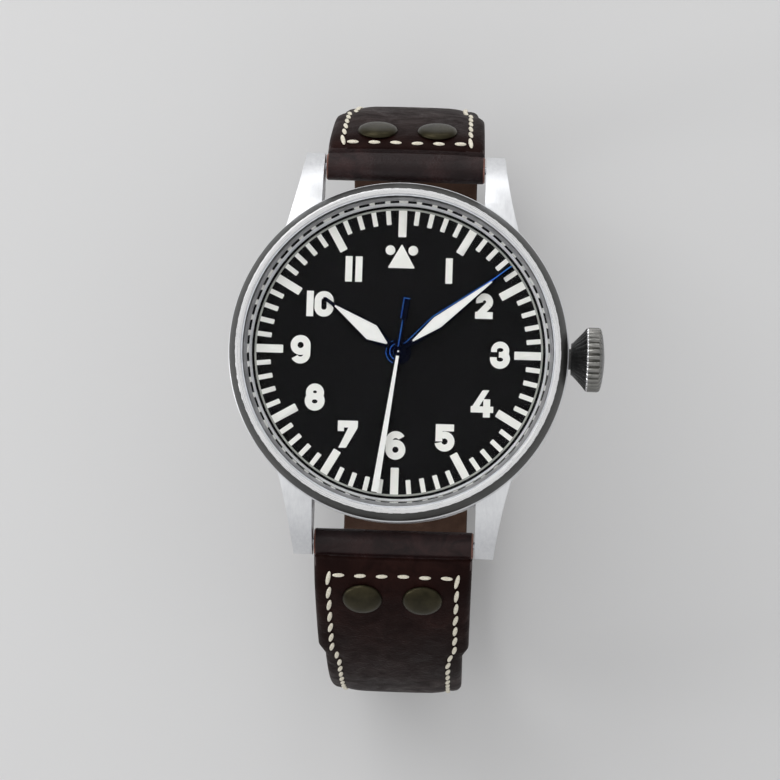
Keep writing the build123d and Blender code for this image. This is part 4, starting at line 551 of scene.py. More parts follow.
def makeCrown():
    # each ring is a place along the stem, a radius and a share of the full flute depth
    s = crownSize
    count = s["flutes"] * s["around"]
    bm = bmesh.new()
    verts = bmesh.ops.create_circle(bm, segments=count, radius=1.0, cap_ends=False)["verts"]
    loop = list({edge for vert in verts for edge in vert.link_edges})
    for index, (x, radius, share) in enumerate(s["rings"]):
        if index:
            grown = bmesh.ops.extrude_edge_only(bm, edges=loop)["geom"]
            verts = vertsOf(grown)
            loop = edgesOf(grown)
        for vert in verts:
            across, rise = (vert.co.x, vert.co.y) if index == 0 else (vert.co.y, vert.co.z - s["axis"])
            angle = math.atan2(rise, across)
            cut = 0.5 + 0.5 * math.cos(angle * s["flutes"])
            r = radius - s["depth"] * share * cut ** 3
            vert.co = (x, r * math.cos(angle), s["axis"] + r * math.sin(angle))
    for x in (s["rings"][0][0], s["rings"][-1][0]):
        openEdges = [edge for edge in bm.edges if edge.is_boundary]
        rim = [edge for edge in openEdges if abs(edge.verts[0].co.x - x) < meshSize["weld"]]
        bmesh.ops.holes_fill(bm, edges=rim, sides=0)
    bmesh.ops.recalc_face_normals(bm, faces=bm.faces)
    # painted shade: the throat cone and the end are painted nearly black; the shoulder ring between is
    # polished steel, the flute band the darkened crown steel
    paintFaces(bm, 2, lambda centre: centre.x < s["ringEnd"])
    paintFaces(bm, 1, lambda centre: centre.x < s["coneEnd"] or centre.x > s["edge"])
    finishPiece("crownFluted", bm, "crownSteelPaintedShade", "crown_body", ("crown",),
                ("throatSteelPaintedShade", "polishedSteel"), 42)


makeCrown()
print("crown made")


# dial and hands

paintSize = {"rimInner": 17.55, "rim": 17.78, "edge": 18.08, "lift": 0.012, "sink": 0.02, "steps": 240}


def paintCopy(name, node, radius):
    # printed marks with softly rounded corners; the faces stay in triangles, because some have holes
    bm = cadMesh(node)
    upright = []
    for edge in sharpEdges(bm, meshSize["upright"]):
        if abs(edge.verts[0].co.z - edge.verts[1].co.z) > meshSize["rise"]:
            upright.append(edge)
    softenEdges(bm, upright, radius, 3)
    top = max(vert.co.z for vert in bm.verts)
    finishPiece(name, bm, "dialPrint", "case_body", (node,))
    return top


printTop = paintCopy("printedTrack", "minute_track", 0.1)
paintCopy("printedTriangle", "triangle_marker", 0.16)


def makeDialRing(name, inner, outer, finish):
    # a flat ring that stands a little above the printed track
    s = paintSize
    low, high = printTop - s["sink"], printTop + s["lift"]
    bm = spinProfile([(inner, low), (outer, low), (outer, high), (inner, high)], s["steps"])
    finishPiece(name, bm, finish, "case_body", ())


# the outer track line is printed in the dimmed grey: painted shadow of the bezel
makeDialRing("trackRimLine", paintSize["rimInner"], paintSize["rim"], "trackRimPaintedShade")
makeDialRing("dialOuterRing", paintSize["rim"], paintSize["edge"], "dialBlack")

# bright: whether the blade's facets get the painted highlight as well as the hub's
hourSize = {
    "turn": 304.4, "low": 8.05, "thick": 0.2, "hub": 1.58, "bore": 0.72, "neck": 0.9, "belly": 2.54,
    "bellyAt": 4.07, "tip": 0.45, "tipAt": 10.1, "reach": 11.5, "lumeFrom": 1.75, "lumeWidth": 2.1,
    "lumeTo": 9.7, "facet": 0.09, "hubFacet": 0.1, "bright": False,
}
minuteSize = {
    "turn": 51.4, "low": 8.42, "thick": 0.2, "hub": 1.1, "bore": 0.45, "neck": 0.8, "belly": 2.0,
    "bellyAt": 6.0, "tip": 0.42, "tipAt": 14.9, "reach": 17.6, "lumeFrom": 2.2, "lumeWidth": 1.5,
    "lumeTo": 14.4, "facet": 0.19, "hubFacet": 0.1, "bright": True,
}

# one entry gives the direction from which the painted highlight falls on the hands' facets
handCommon = {
    "lumeEnd": 0.1, "hubSteps": 14, "taper": 0.9, "point": 0.3, "slack": 0.02, "sideSlack": 0.03,
    "endSlack": 0.05, "paintedLightFrom": (-0.6, 0.8), "hubTurn": 0.5, "bladeTurn": 0.3, "steep": 0.1,
    "level": 0.97, "upward": 0.9, "lumeLow": 0.04, "lumeHigh": 0.05, "lumeInset": 0.14,
    "lumeRise": 0.035,
}


def lumeOutline(s):
    half, end = s["lumeWidth"] / 2, handCommon["lumeEnd"]
    return bothSides([(end, s["lumeFrom"]), (half, s["bellyAt"]), (end, s["lumeTo"])])


def hubArc(radius, first, last, steps):
    # angles run clockwise from +Y
    angles = [first + (last - first) * step / steps for step in range(steps + 1)]
    return [(radius * math.sin(angle), radius * math.cos(angle)) for angle in angles]


def handOutline(s):
    # round hub, tapered neck, belly and a narrow needle
    joint = math.asin(s["neck"] / 2 / s["hub"])
    right = hubArc(s["hub"], math.pi, joint, handCommon["hubSteps"])
    right += [(s["belly"] / 2, s["bellyAt"]), (s["tip"] / 2, s["tipAt"])]
    right += [(s["tip"] / 2 * handCommon["taper"], s["reach"] - handCommon["point"]), (0, s["reach"])]
    left = [(-x, y) for x, y in reversed(right[1:-1])]
    return right + left


def framePlate(bm, outlines, bottom, top):
    # a flat plate with holes: every outline's edges are filled together, then raised
    edges = []
    for outline in outlines:
        edges += wire(bm, [(x, y, bottom) for x, y in outline])[1]
    bmesh.ops.triangle_fill(bm, use_beauty=True, use_dissolve=False, edges=edges, normal=(0, 0, 1))
    raiseFaces(bm, list(bm.faces), top - bottom)


def facetTop(bm, top, width, chosen):
    # the chosen edges round the upper face are cut to one flat facet
    rim = []
    for edge in sharpEdges(bm, meshSize["edgeOn"]):
        if min(vert.co.z for vert in edge.verts) > top - meshSize["weld"]:
            if chosen((edge.verts[0].co + edge.verts[1].co) / 2):
                rim.append(edge)
    softenEdges(bm, rim, width, 1)


def circleOutline(radius, steps=32):
    turns = [fullTurn * i / steps for i in range(steps)]
    return [(radius * math.cos(turn), radius * math.sin(turn)) for turn in turns]


def insideRhombus(s):
    h = handCommon

    def test(point):
        end, across = h["lumeEnd"], s["lumeWidth"] / 2 + h["sideSlack"]
        y = point.y
        if y < s["lumeFrom"] - h["endSlack"] or y > s["lumeTo"] + h["endSlack"]:
            return False
        if y < s["bellyAt"]:
            share = (y - s["lumeFrom"]) / (s["bellyAt"] - s["lumeFrom"])
        else:
            share = (s["lumeTo"] - y) / (s["lumeTo"] - s["bellyAt"])
        return abs(point.x) <= end + (across - end) * max(0.0, share) + h["slack"]
    return test


def paintFacetHighlights(bm, hub, blade):
    # painted highlight and painted shade: facets turned to the upper left are painted bright blue, all else
    # is painted nearly black, by their direction and not by any lamp
    paintedLightFrom = Vector(handCommon["paintedLightFrom"])
    for face in bm.faces:
        flat = face.normal.xy
        if not handCommon["steep"] <= face.normal.z <= handCommon["level"]:
            continue
        if face.calc_center_median().xy.length < hub + handCommon["sideSlack"]:
            face.material_index = 1 if flat.x < -handCommon["hubTurn"] * flat.length else 0
        elif blade and flat.dot(paintedLightFrom) > handCommon["bladeTurn"] * flat.length:
            face.material_index = 1


def makeHand(name, s, body, frameNode, lumeNode):
    h = handCommon
    top = s["low"] + s["thick"]
    bm = bmesh.new()
    framePlate(bm, [handOutline(s), lumeOutline(s), circleOutline(s["bore"])], s["low"], top)
    inside = insideRhombus(s)
    hub = s["hub"] + h["slack"]
    facetTop(bm, top, s["facet"], lambda p: not inside(p) and p.xy.length > hub)
    facetTop(bm, top, s["hubFacet"], lambda p: s["bore"] + h["endSlack"] < p.xy.length < hub)
    turnVerts(bm, bm.verts, -s["turn"], "Z")
    bm.normal_update()
    # painted highlight on facets turned to the upper left, painted shade on all other faces
    paintFacetHighlights(bm, s["hub"], s["bright"])
    finishPiece(name + "Frame", bm, "bluedPaintedShade", body, (frameNode,), ("bluedSteelAndPaintedHighlight",), 12)
    bm = bmesh.new()
    plate(bm, lumeOutline(s), s["low"] + h["lumeLow"], top - h["lumeHigh"])
    upper = [face for face in bm.faces if face.normal.z > h["upward"]]
    bmesh.ops.inset_region(bm, faces=upper, thickness=h["lumeInset"], depth=h["lumeRise"])
    turnVerts(bm, bm.verts, -s["turn"], "Z")
    finishPiece(name + "Lume", bm, "lumeFill", body, (lumeNode,), flatAbove=60)


makeHand("hourHand", hourSize, "hours_body", "hour_hand", "hour_hand_lume")
makeHand("minuteHand", minuteSize, "minutes_body", "minute_hand", "minute_hand_lume")

secondsSize = {
    "turn": 187.7, "low": 8.8, "thick": 0.12, "hub": 0.63, "pin": 0.36, "glint": 0.12, "facet": 0.165,
    "hubFacet": 0.06, "root": 0.36, "end": 0.87, "reach": 17.5, "tail": 0.35, "tailTo": 3.85,
    "weight": 0.85, "weightFrom": 4.1, "weightTo": 6.7, "paint": 0.04, "paintFrom": 0.55, "pinEdge": 0.07,
    "pinRise": 0.1, "pinTop": 0.12, "pinSoft": 0.08, "pinSteps": 32, "hubSteps": 12,
}


def makeSeconds():
    s = secondsSize
    top = s["low"] + s["thick"]
    joint = math.asin(s["root"] / 2 / s["hub"])
    right = hubArc(s["hub"], math.pi - joint, joint, s["hubSteps"])
    tail = [(s["weight"] / 2, -s["weightTo"]), (s["weight"] / 2, -s["weightFrom"])]
    right = tail + [(s["tail"] / 2, -s["tailTo"])] + right + [(s["end"] / 2, s["reach"])]
    bm = bmesh.new()
    framePlate(bm, [bothSides(right)], s["low"], top)
    hub = s["hub"] + handCommon["slack"]
    facetTop(bm, top, s["facet"], lambda p: p.y < -hub)
    facetTop(bm, top, s["hubFacet"], lambda p: p.xy.length < hub)
    turnVerts(bm, bm.verts, -s["turn"], "Z")
    bm.normal_update()
    # painted highlight on facets turned to the upper left, painted shade on all other faces
    paintFacetHighlights(bm, s["hub"], True)
    finishPiece("secondsFrame", bm, "bluedPaintedShade", "seconds_body", ("seconds_hand",),
                ("bluedSteelAndPaintedHighlight",), 12)
    # the pin is painted nearly black as painted shade, with polished steel only on a small cap at its middle,
    # where the glint shows
    outline = [(0, s["low"]), (s["pin"], s["low"]), (s["pin"], top + s["pinEdge"])]
    outline += [(s["pin"] - s["pinSoft"], top + s["pinRise"]), (s["glint"], top + s["pinRise"])]
    outline.append((0, top + s["pinTop"]))
    bm = spinProfile(outline, s["pinSteps"])
    for face in bm.faces:
        if face.normal.z > handCommon["upward"] and face.calc_center_median().xy.length < s["glint"]:
            face.material_index = 1
    finishPiece("secondsPin", bm, "bluedPaintedShade", "seconds_body", (), ("polishedSteel",))
    bm = bmesh.new()
    right = [(s["root"] / 2, s["paintFrom"]), (s["end"] / 2, s["reach"])]
    plate(bm, bothSides(right), top, top + s["paint"])
    turnVerts(bm, bm.verts, -s["turn"], "Z")
    finishPiece("secondsPaint", bm, "lumeFill", "seconds_body", ("seconds_hand_lume",))


makeSeconds()
print("dial and hands made")


# strap: side 1 is the short half at twelve, side -1 the long half with the tail

strapSize = {
    "start": (23.5, 4.1), "lining": 0.8, "shoulder": 19.8, "aboveWaist": 19.2, "belowWaist": 17.6,
    "endWidth": 17.0, "waist": {1: 16.5, -1: 20.1}, "depths": [(0, 3.4), (19, 3.2), (56, 2.4)],
    "tail": [(0, 1), (0.4, 0.94), (0.7, 0.77), (0.9, 0.54), (1, 0.32)], "tailReach": 9.0,
    "groove": {1: 2.35, -1: 1.8}, "grooveWidth": 0.3, "grooveDepth": 0.5, "startDip": 0.05,
    "step": 0.9, "crossAlong": 86.32, "tailDepth": 2.2, "foldEnd": -9.0, "waistLength": 2.5,
    "taperEnd": 56, "marks": [0.0, 0.5, 1.0, 3.5, 4.0, 4.5], "grooveStep": 0.14,
    "grooveSteps": range(-5, 6), "waistStep": 0.5, "waistSteps": 6,
    "tailMarks": (0.1, 0.2, 0.3, 0.45, 0.6), "firstStep": 5.2, "lastStep": 0.3, "startReach": 0.4,
    "settle": 4.0, "pad": (0.35, 0.25), "padFull": 0.6, "middle": [(0.0, 0.0), (0.3, 0.01), (0.55, 0.05)],
    "border": [
        (3.1, 0.13), (2.4, 0.24), (1.95, 0.42), (1.55, 0.44), (1.1, 0.42), (0.62, 0.52), (0.28, 0.74),
        (0.07, 1.05),
    ],
    "sideDepth": 1.4, "sideLip": 0.3, "liningInset": 0.02,
    "liningRound": [(0.02, 0.35), (0.12, 0.1), (0.35, 0.0)], "sideFacing": 0.85, "foldBack": 0.05,
    "padReach": 1.0,
}
shortMoves = [(6.9, 53), (60.0, 27), (0, 5.6), (15.0, 90), (0, 16.18)]
longMoves = [(10.4, 44), (49.637, 41), (15.4, 90), (0, 18.627), (13.4125, -24.678), (13.4125, 24.678),
             (0, 17.38), (17.45, 34)]


def routeOf(side, slope, moves):
    # arcs and straights in the plane of y and z; slope is the fall away from the case
    legs = []
    along, (y, z), turn = 0.0, strapSize["start"], math.radians(slope)
    for radius, value in moves:
        sweep = math.radians(value) if radius else 0.0
        length = radius * abs(sweep) if radius else value
        legs.append((along, y, z, turn, radius, sweep))
        if radius:
            bend = 1 if sweep > 0 else -1
            y += bend * radius * (math.sin(turn + sweep) - math.sin(turn))
            z += bend * radius * (math.cos(turn + sweep) - math.cos(turn))
        else:
            y += length * math.cos(turn)
            z -= length * math.sin(turn)
        turn += sweep
        along += length
    return {"side": side, "legs": legs, "length": along}


def spotOn(strap, along):
    begin, y, z, turn, radius, sweep = [leg for leg in strap["legs"] if along >= leg[0]][-1]
    gone = along - begin
    if not radius:
        return y + gone * math.cos(turn), z - gone * math.sin(turn), turn
    bend = 1 if sweep > 0 else -1
    now = turn + bend * gone / radius
    y += bend * radius * (math.sin(now) - math.sin(turn))
    z += bend * radius * (math.cos(now) - math.cos(turn))
    return y, z, now


shortStrap = routeOf(1, 10, shortMoves)
longStrap = routeOf(-1, 5, longMoves)


def between(marks, value):
    for (low, a), (high, b) in zip(marks, marks[1:]):
        if value <= high:
            return a + (b - a) * max(0.0, value - low) / (high - low)
    return marks[-1][1]


def strapWidth(strap, along):
    s = strapSize
    waist = s["waist"][strap["side"]]
    marks = [(0, s["shoulder"]), (waist, s["aboveWaist"])]
    marks += [(waist + s["waistLength"], s["belowWaist"]), (s["taperEnd"], s["endWidth"])]
    width = between(marks, along)
    tailGone = along - strap["length"] + s["tailReach"]
    if strap["side"] < 0 and tailGone > 0:
        width *= between(s["tail"], tailGone / s["tailReach"])
    return width


def strapDepth(strap, along):
    s = strapSize
    if strap["side"] < 0 and along > s["taperEnd"]:
        return between([s["depths"][-1], (s["crossAlong"], s["tailDepth"])], along)
    return between(s["depths"], along)


def strapPoint(strap, along, x, depth):
    y, z, turn = spotOn(strap, along)
    return Vector((x, strap["side"] * (y - depth * math.sin(turn)), z - depth * math.cos(turn)))


def sectionLeather(half, depth, along):
    # half a section from the middle of the face to the join with the lining: (x, depth)
    s = strapSize
    pad = (s["pad"][0] + s["pad"][1] * min(1.0, max(0.0, along / s["settle"]))) / s["padFull"]
    floor = depth - s["lining"]
    shape = [(half * share, d) for share, d in s["middle"]]
    shape += [(half - inset, d) for inset, d in s["border"]]
    shape += [(half, min(s["sideDepth"], floor - s["sideLip"])), (half, floor)]
    return [(max(0.0, x), min(d * pad if d < s["padReach"] else d, floor)) for x, d in shape]


def alongSteps(strap):
    s = strapSize
    side, length = strap["side"], strap["length"]
    marks = s["marks"] + [s["groove"][side] + step * s["grooveStep"] for step in s["grooveSteps"]]
    along = s["firstStep"]
    while along < length - s["lastStep"]:
        marks.append(along)
        along += s["step"]
    marks += [s["waist"][side] + step * s["waistStep"] for step in range(s["waistSteps"])] + [length]
    if side < 0:
        marks += [length - s["tailReach"] * share for share in s["tailMarks"]]
    return sorted(set(round(mark, 4) for mark in marks))


def sweepSections(strap, sectionAt):
    # closed loops of the same count joined one after another, with a face over each end
    bm = bmesh.new()
    order = loop = None
    for along in alongSteps(strap):
        points = [strapPoint(strap, along, x, d) for x, d in sectionAt(strap, along)]
        if loop is None:
            order, loop = wire(bm, points)
            continue
        grown = bmesh.ops.extrude_edge_only(bm, edges=loop)["geom"]
        loop = edgesOf(grown)
        places = {vert: i for i, vert in enumerate(order)}
        links = {}
        for vert in vertsOf(grown):
            for edge in vert.link_edges:
                other = edge.other_vert(vert)
                if other in places:
                    links[places[other]] = vert
        order = [links[i] for i in range(len(points))]
        for vert, point in zip(order, points):
            vert.co = point
    ends = [edge for edge in bm.edges if edge.is_boundary]
    bmesh.ops.holes_fill(bm, edges=ends, sides=0)
    bmesh.ops.recalc_face_normals(bm, faces=bm.faces)
    return bm


def leatherAt(strap, along):
    s = strapSize
    depth = strapDepth(strap, along)
    dip = s["grooveDepth"] * math.exp(-((along - s["groove"][strap["side"]]) / s["grooveWidth"]) ** 2)
    dip += s["startDip"] * math.exp(-(along / s["startReach"]) ** 2)
    floor = depth - s["lining"]
    section = sectionLeather(strapWidth(strap, along) / 2, depth, along)
    half = [(x, min(d + dip, floor)) for x, d in section]
    return half[:1] + bothSides(half[1:])


def liningAt(strap, along):
    s = strapSize
    half, depth = strapWidth(strap, along) / 2, strapDepth(strap, along)
    right = [(half - s["liningInset"], depth - s["lining"])]
    return bothSides(right + [(half - inset, depth - rise) for inset, rise in s["liningRound"]])


def makeStrap(name, strap, node):
    s = strapSize
    bm = sweepSections(strap, leatherAt)
    bm.normal_update()
    fold = s["start"][0] + s["groove"][strap["side"]] - s["foldBack"]
    # side faces get the edge leather; the face from the start to the fold gets the roll's lighter copy as
    # painted highlight
    for face in bm.faces:
        centre = face.calc_center_median()
        if abs(face.normal.x) > s["sideFacing"]:
            face.material_index = 1
        elif abs(centre.y) < fold and centre.z > 0:
            face.material_index = 2
    finishPiece(name + "Leather", bm, "strapLeather", "case_body", (node,),
                ("edgeLeather", "rollLeatherPaintedSheen"), 50)
    bm = sweepSections(strap, liningAt)
    paintFaces(bm, 1, lambda centre: centre.z > s["foldEnd"])
    finishPiece(name + "Lining", bm, "liningLeather", "case_body", ("strap_lining",),
                ("strapLeather",), 50)


makeStrap("strapShort", shortStrap, "strap_short")
makeStrap("strapLong", longStrap, "strap_long")

rollSize = {
    "y": 23.5, "z": 2.4, "radius": 1.7, "bore": 1.0, "half": 9.9, "steps": 56, "rings": 24, "soft": 0.2,
    "crease": 0.05, "creaseLong": 0.25, "creaseRound": 1.5, "creaseShift": 7, "skin": 0.05,
}


def makeRoll(name, side, node):
    s = rollSize
    soft = s["soft"]
    profile = [(s["bore"], -s["half"]), (s["radius"] - soft, -s["half"]), (s["radius"], -s["half"] + soft)]
    for ring in range(1, s["rings"]):
        profile.append((s["radius"], (s["half"] - soft) * (2 * ring / s["rings"] - 1)))
    profile += [(s["radius"], s["half"] - soft), (s["radius"] - soft, s["half"]), (s["bore"], s["half"])]
    bm = spinProfile(profile, s["steps"])
    paintFaces(bm, 1, lambda centre: abs(centre.z) > s["half"] - soft)
    turnVerts(bm, bm.verts, 90, "Y")
    for vert in bm.verts:
        radial = Vector((0, vert.co.y, vert.co.z))
        if radial.length > s["radius"] - s["skin"]:
            spot = radial * s["creaseRound"]
            spot += Vector((vert.co.x * s["creaseLong"], 0, s["creaseShift"] * side))
            vert.co -= radial.normalized() * s["crease"] * (0.5 + noise.noise(spot))
    bmesh.ops.translate(bm, verts=bm.verts, vec=(0, side * s["y"], s["z"]))
    # the roll gets the lighter copy of the strap leather as painted highlight; its ends are raw tan leather
    finishPiece(name, bm, "rollLeatherPaintedSheen", "case_body", (node,), ("rawLeather",))


makeRoll("rollTwelve", 1, "strap_short")
makeRoll("rollSix", -1, "strap_long")

stitchSize = {
    "row": 1.5, "rowWidth": 0.55, "rowPitch": 2.7, "rowCount": 6, "rowAt": {1: 3.6, -1: 4.35},
    "lead": 0.65, "column": 2.1, "columnWidth": 0.56, "pitch": 2.4, "inset": 1.8, "height": 0.42,
    "slant": 9, "wander": 0.05, "rowTwist": 4, "columnTwist": 3, "faces": (8, 6), "rowSink": 0.02,
    "columnSink": 0.3, "stop": {1: 3.0, -1: 8.0},
}


def axesMatrix(axes, place):
    matrix = Matrix.Identity(4)
    for column, axis in enumerate(axes):
        matrix.col[column].xyz = axis
    matrix.translation = place
    return matrix


def frameOn(strap, along, x, depth):
    # local axes on the leather: X across, Y along, Z out of it
    side, turn = strap["side"], spotOn(strap, along)[2]
    onward = Vector((0, side * math.cos(turn), -math.sin(turn)))
    outward = Vector((0, side * math.sin(turn), math.cos(turn)))
    return axesMatrix((onward.cross(outward), onward, outward), strapPoint(strap, along, x, depth))


def bead(bm, matrix, long, wide, turn):
    around, rings = stitchSize["faces"]
    made = bmesh.ops.create_uvsphere(bm, u_segments=around, v_segments=rings, radius=0.5)["verts"]
    bmesh.ops.scale(bm, verts=made, vec=(wide, stitchSize["height"], long))
    turnVerts(bm, made, 90, "X")
    turnVerts(bm, made, turn, "Z")
    bmesh.ops.transform(bm, matrix=matrix, verts=made)


def makeStitches(name, strap, seed):
    # a row across the strap, then a column along each edge
    s = stitchSize
    side = strap["side"]
    chance = random.Random(seed)
    bm = bmesh.new()
    for index in range(s["rowCount"]):
        x = (index - (s["rowCount"] - 1) / 2) * s["rowPitch"]
        along = s["rowAt"][side] + chance.uniform(-s["wander"], s["wander"])
        turn = 90 + chance.uniform(-s["rowTwist"], s["rowTwist"])
        bead(bm, frameOn(strap, along, x, s["rowSink"]), s["row"], s["rowWidth"], turn)
    for turned in (-1, 1):
        along = s["rowAt"][side] + s["lead"]
        while along < strap["length"] - s["stop"][side]:
            x = turned * (strapWidth(strap, along) / 2 - s["inset"])
            turn = side * s["slant"] + chance.uniform(-s["columnTwist"], s["columnTwist"])
            bead(bm, frameOn(strap, along, x, s["columnSink"]), s["column"], s["columnWidth"], turn)
            along += s["pitch"]
    finishPiece(name, bm, "threadCream", "case_body")


makeStitches("stitchesShort", shortStrap, 3)
makeStitches("stitchesLong", longStrap, 5)

holeSize = {
    "radius": 1.15, "depth": 0.12, "steps": 24, "slope": 0.6, "marks": 2000, "firstMark": 900,
    "spots": (-24.15, -17.65, -11.15, 8.05, 14.55, 21.05),
}


def makeHoleMarks():
    # dark discs over the punched holes, on both faces of the long half
    s = holeSize
    bm = bmesh.new()
    marks = [longStrap["length"] * step / s["marks"] for step in range(s["firstMark"], s["marks"])]
    level = [mark for mark in marks if abs(math.sin(spotOn(longStrap, mark)[2])) < s["slope"]]
    for spot in s["spots"]:
        along = min(level, key=lambda mark: abs(spotOn(longStrap, mark)[0] + spot))
        for depth in (0.0, strapDepth(longStrap, along)):
            made = bmesh.ops.create_cone(bm, cap_ends=True, segments=s["steps"], radius1=s["radius"],
                                         radius2=s["radius"], depth=s["depth"])["verts"]
            bmesh.ops.transform(bm, matrix=frameOn(longStrap, along, 0, depth), verts=made)
    finishPiece("strapHoles", bm, "strapLeather", "case_body", ())


makeHoleMarks()

rivetSize = {
    "rise": 0.68, "side": 3.75, "at": {1: 6.5, -1: 8.0}, "steps": 48,
    "dome": [(0, 0), (1.0, 0.02), (1.7, 0.09), (2.1, 0.2), (2.38, 0.38), (2.5, 0.62)],
    "shank": [(2.48, -0.1), (0.9, -0.1), (0.9, -2.9), (0, -2.9)],
}


def makeRivets():
    s = rivetSize
    profile = [(radius, s["rise"] - drop) for radius, drop in s["dome"]] + s["shank"]
    bm = bmesh.new()
    for strap in (shortStrap, longStrap):
        for x in (-s["side"], s["side"]):
            one = spinProfile(profile, s["steps"])
            place = frameOn(strap, s["at"][strap["side"]], x, 0.0)
            bmesh.ops.transform(one, matrix=place, verts=one.verts)
            mesh = bpy.data.meshes.new("rivetPart")
            one.to_mesh(mesh)
            one.free()
            bm.from_mesh(mesh)
            bpy.data.meshes.remove(mesh)
    finishPiece("rivetHeads", bm, "rivetBronze", "case_body", ("strap_rivets",))


makeRivets()

keeperSize = {
    "half": 8.8, "wall": 0.95, "floor": -49.952, "ceiling": -44.902, "length": 4.5, "round": 1.0,
    "fixed": 6.0, "free": 11.2, "lift": 0.05, "innerRound": 0.25, "soft": 0.22,
}


def roundedBox(half, low, high, radius, steps=5):
    points = []
    for cx, cz, start in ((half - radius, high - radius, 0), (-half + radius, high - radius, 90),
                          (-half + radius, low + radius, 180), (half - radius, low + radius, 270)):
        for step in range(steps + 1):
            angle = math.radians(start + 90 * step / steps)
            points.append((cx + radius * math.cos(angle), cz + radius * math.sin(angle)))
    return points


def makeKeeper(name, node, start, lift, body):
    s = keeperSize
    wall = s["wall"]
    bm = bmesh.new()
    outer = roundedBox(s["half"] + wall, s["floor"] - wall + lift, s["ceiling"] + wall, s["round"])
    inner = roundedBox(s["half"], s["floor"], s["ceiling"], s["innerRound"], 3)
    framePlate(bm, [outer, inner], 0, s["length"])
    softenEdges(bm, sharpEdges(bm, meshSize["edgeOn"]), s["soft"], 3)
    turnVerts(bm, bm.verts, 90, "X")
    bmesh.ops.translate(bm, verts=bm.verts, vec=(0, start + s["length"], 0))
    finishPiece(name, bm, "strapLeather", body, (node,), flatAbove=50)


makeKeeper("keeperFixedLoop", "keeper_fixed", keeperSize["fixed"], 0, "case_body")
makeKeeper("keeperFreeLoop", "keeper_free", keeperSize["free"], keeperSize["lift"], "keeper_body")
softCopy("buckleFrame", "buckle_frame", "polishedSteel", "case_body", 0.22, 3, 30)
softCopy("bucklePin", "buckle_tongue", "polishedSteel", "tongue_body", 0.25, 3, 40)
print("strap made")


# CAD nodes shown in their own shape, each with a finish

kept = {
    "gasketClear": ["crystal_gasket"],
    "gasketBlack": ["caseback_gasket", "crown_gasket"],
    "polishedSteel": ["buckle_bar"],
    # the crown tube is painted nearly black as painted shade
    "throatSteelPaintedShade": ["crown_tube"],
    "dialBlack": ["dial"],
    "dialPrint": ["numerals"],
    "movementSteel": [
        "winding_stem", "winding_pinion", "sliding_clutch", "movement_ring", "case_clamps",
        "ratchet_wheel", "crown_wheel",
    ],
    "bluedSteelAndPaintedHighlight": ["movement_screws"],
    "stripedNickel": ["barrel_bridge", "train_bridge", "balance_cock", "mainplate"],
    "ruby": ["jewels"],
    "giltBrass": [
        "mainspring_barrel", "center_wheel", "third_wheel", "fourth_wheel", "minute_wheel", "hour_wheel",
        "balance_wheel",
    ],
    "springSteel": [
        "mainspring", "barrel_arbor", "escape_wheel", "pallet_fork", "hairspring", "cannon_pinion",
        "rotor_bearing", "spring_bar_12", "spring_bar_6",
    ],
    "rotorMetal": ["rotor"],
}
for key, names in kept.items():
    for name in names:
        mesh = nodes[name].data
        if not mesh.materials:
            mesh.materials.append(finishes[key])
        for index in range(len(mesh.materials)):
            mesh.materials[index] = finishes[key]
print("kept nodes dressed")


# floor, light and camera

floorSize = {
    "z": -50.93, "radius": 2600.0, "sides": 96, "tone": (0.66, 0.66, 0.66), "roughness": 0.85,
    "specular": 0.1,
}


def makeFloor():
    s = floorSize
    bm = bmesh.new()
    bmesh.ops.create_circle(bm, cap_ends=True, segments=s["sides"], radius=s["radius"])
    bmesh.ops.translate(bm, verts=bm.verts, vec=(0, 0, s["z"]))
    mesh = meshFrom("studioFloor", bm)
    startMaterial("floorPaper", s["tone"], s["roughness"], Specular_IOR_Level=s["specular"])
    mesh.materials.append(finishes["floorPaper"])
    addObject("studioFloor", mesh)


makeFloor()

skySize = {
    "below": (0.5, 0.5, 0.5, 1), "horizon": (0.55, 0.55, 0.5665, 1), "zenith": (1, 1, 1, 1), "strength": 0.85,
}


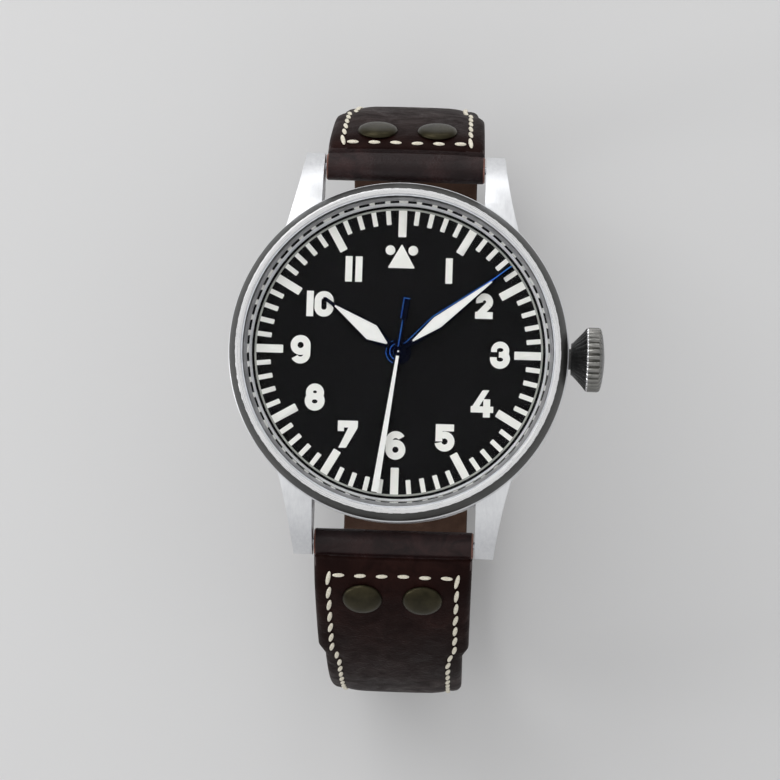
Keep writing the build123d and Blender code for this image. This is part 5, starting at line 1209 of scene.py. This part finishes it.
def makeWorld():
    world = bpy.data.worlds.new("studio")
    bpy.context.scene.world = world
    world.use_nodes = True
    tree = world.node_tree
    back = tree.nodes["Background"]
    split = addNode(tree, "ShaderNodeSeparateXYZ")
    tree.links.new(addNode(tree, "ShaderNodeTexCoord").outputs["Generated"], split.inputs[0])
    ramp = addNode(tree, "ShaderNodeValToRGB")
    stops = ramp.color_ramp.elements
    stops[0].color, stops[1].color = skySize["below"], skySize["zenith"]
    stops.new(0.5).color = skySize["horizon"]
    tree.links.new(spread(tree, split.outputs["Z"], -1, 1), ramp.inputs["Fac"])
    tree.links.new(ramp.outputs["Color"], back.inputs["Color"])
    back.inputs["Strength"].default_value = skySize["strength"]


makeWorld()


# place and size in millimetres, power in watts
lamps = {
    "keyBox": {"place": (-260, 330, 420), "size": (420, 420), "power": 1.06},
    "topStrip": {"place": (60, 420, 130), "size": (420, 110), "power": 0.26},
    "leftStrip": {"place": (-420, -60, 120), "size": (110, 380), "power": 0.4},
}


def softbox(name, s):
    # a rectangle of light turned to the middle of the watch
    light = bpy.data.lights.new(name, "AREA")
    light.shape = "RECTANGLE"
    light.size, light.size_y = [side * mm for side in s["size"]]
    light.energy = s["power"]
    lamp = addObject(name, light)
    lamp.location = Vector(s["place"]) * mm
    lamp.rotation_euler = (-Vector(s["place"])).to_track_quat("-Z", "Y").to_euler()
    lamp.visible_camera = False


for name, settings in lamps.items():
    softbox(name, settings)

cameraSize = {
    "place": (13.6, -32.7, 430.7), "target": (-0.8, -4.9, 10.7), "roll": 1.87, "lens": 158.8,
    "sensor": 36, "clip": (0.01, 20),
}


def makeCamera():
    s = cameraSize
    data = bpy.data.cameras.new("photoCamera")
    data.lens = s["lens"]
    data.sensor_width = s["sensor"]
    data.clip_start, data.clip_end = s["clip"]
    camera = addObject("photoCamera", data)
    place, target = Vector(s["place"]), Vector(s["target"])
    back = (place - target).normalized()
    roll = math.radians(s["roll"])
    up = Vector((-math.sin(roll), math.cos(roll), 0))
    right = up.cross(back).normalized()
    camera.matrix_world = axesMatrix((right, back.cross(right), back), place * mm)
    bpy.context.scene.camera = camera


makeCamera()
bpy.context.scene.view_settings.view_transform = "Standard"
print("floor, light and camera made")


# sizes, and the end

def sizeOfVisual():
    low, high = [1e9] * 3, [-1e9] * 3
    for piece in bpy.context.scene.objects:
        if piece.type != "MESH" or piece.name == "studioFloor" or piece.hide_render:
            continue
        for vert in piece.data.vertices:
            spot = piece.matrix_world @ vert.co
            for axis in range(3):
                low[axis] = min(low[axis], spot[axis])
                high[axis] = max(high[axis], spot[axis])
    return [low, high]


{"cad": [list(side) for side in cadBox], "visual": sizeOfVisual()}
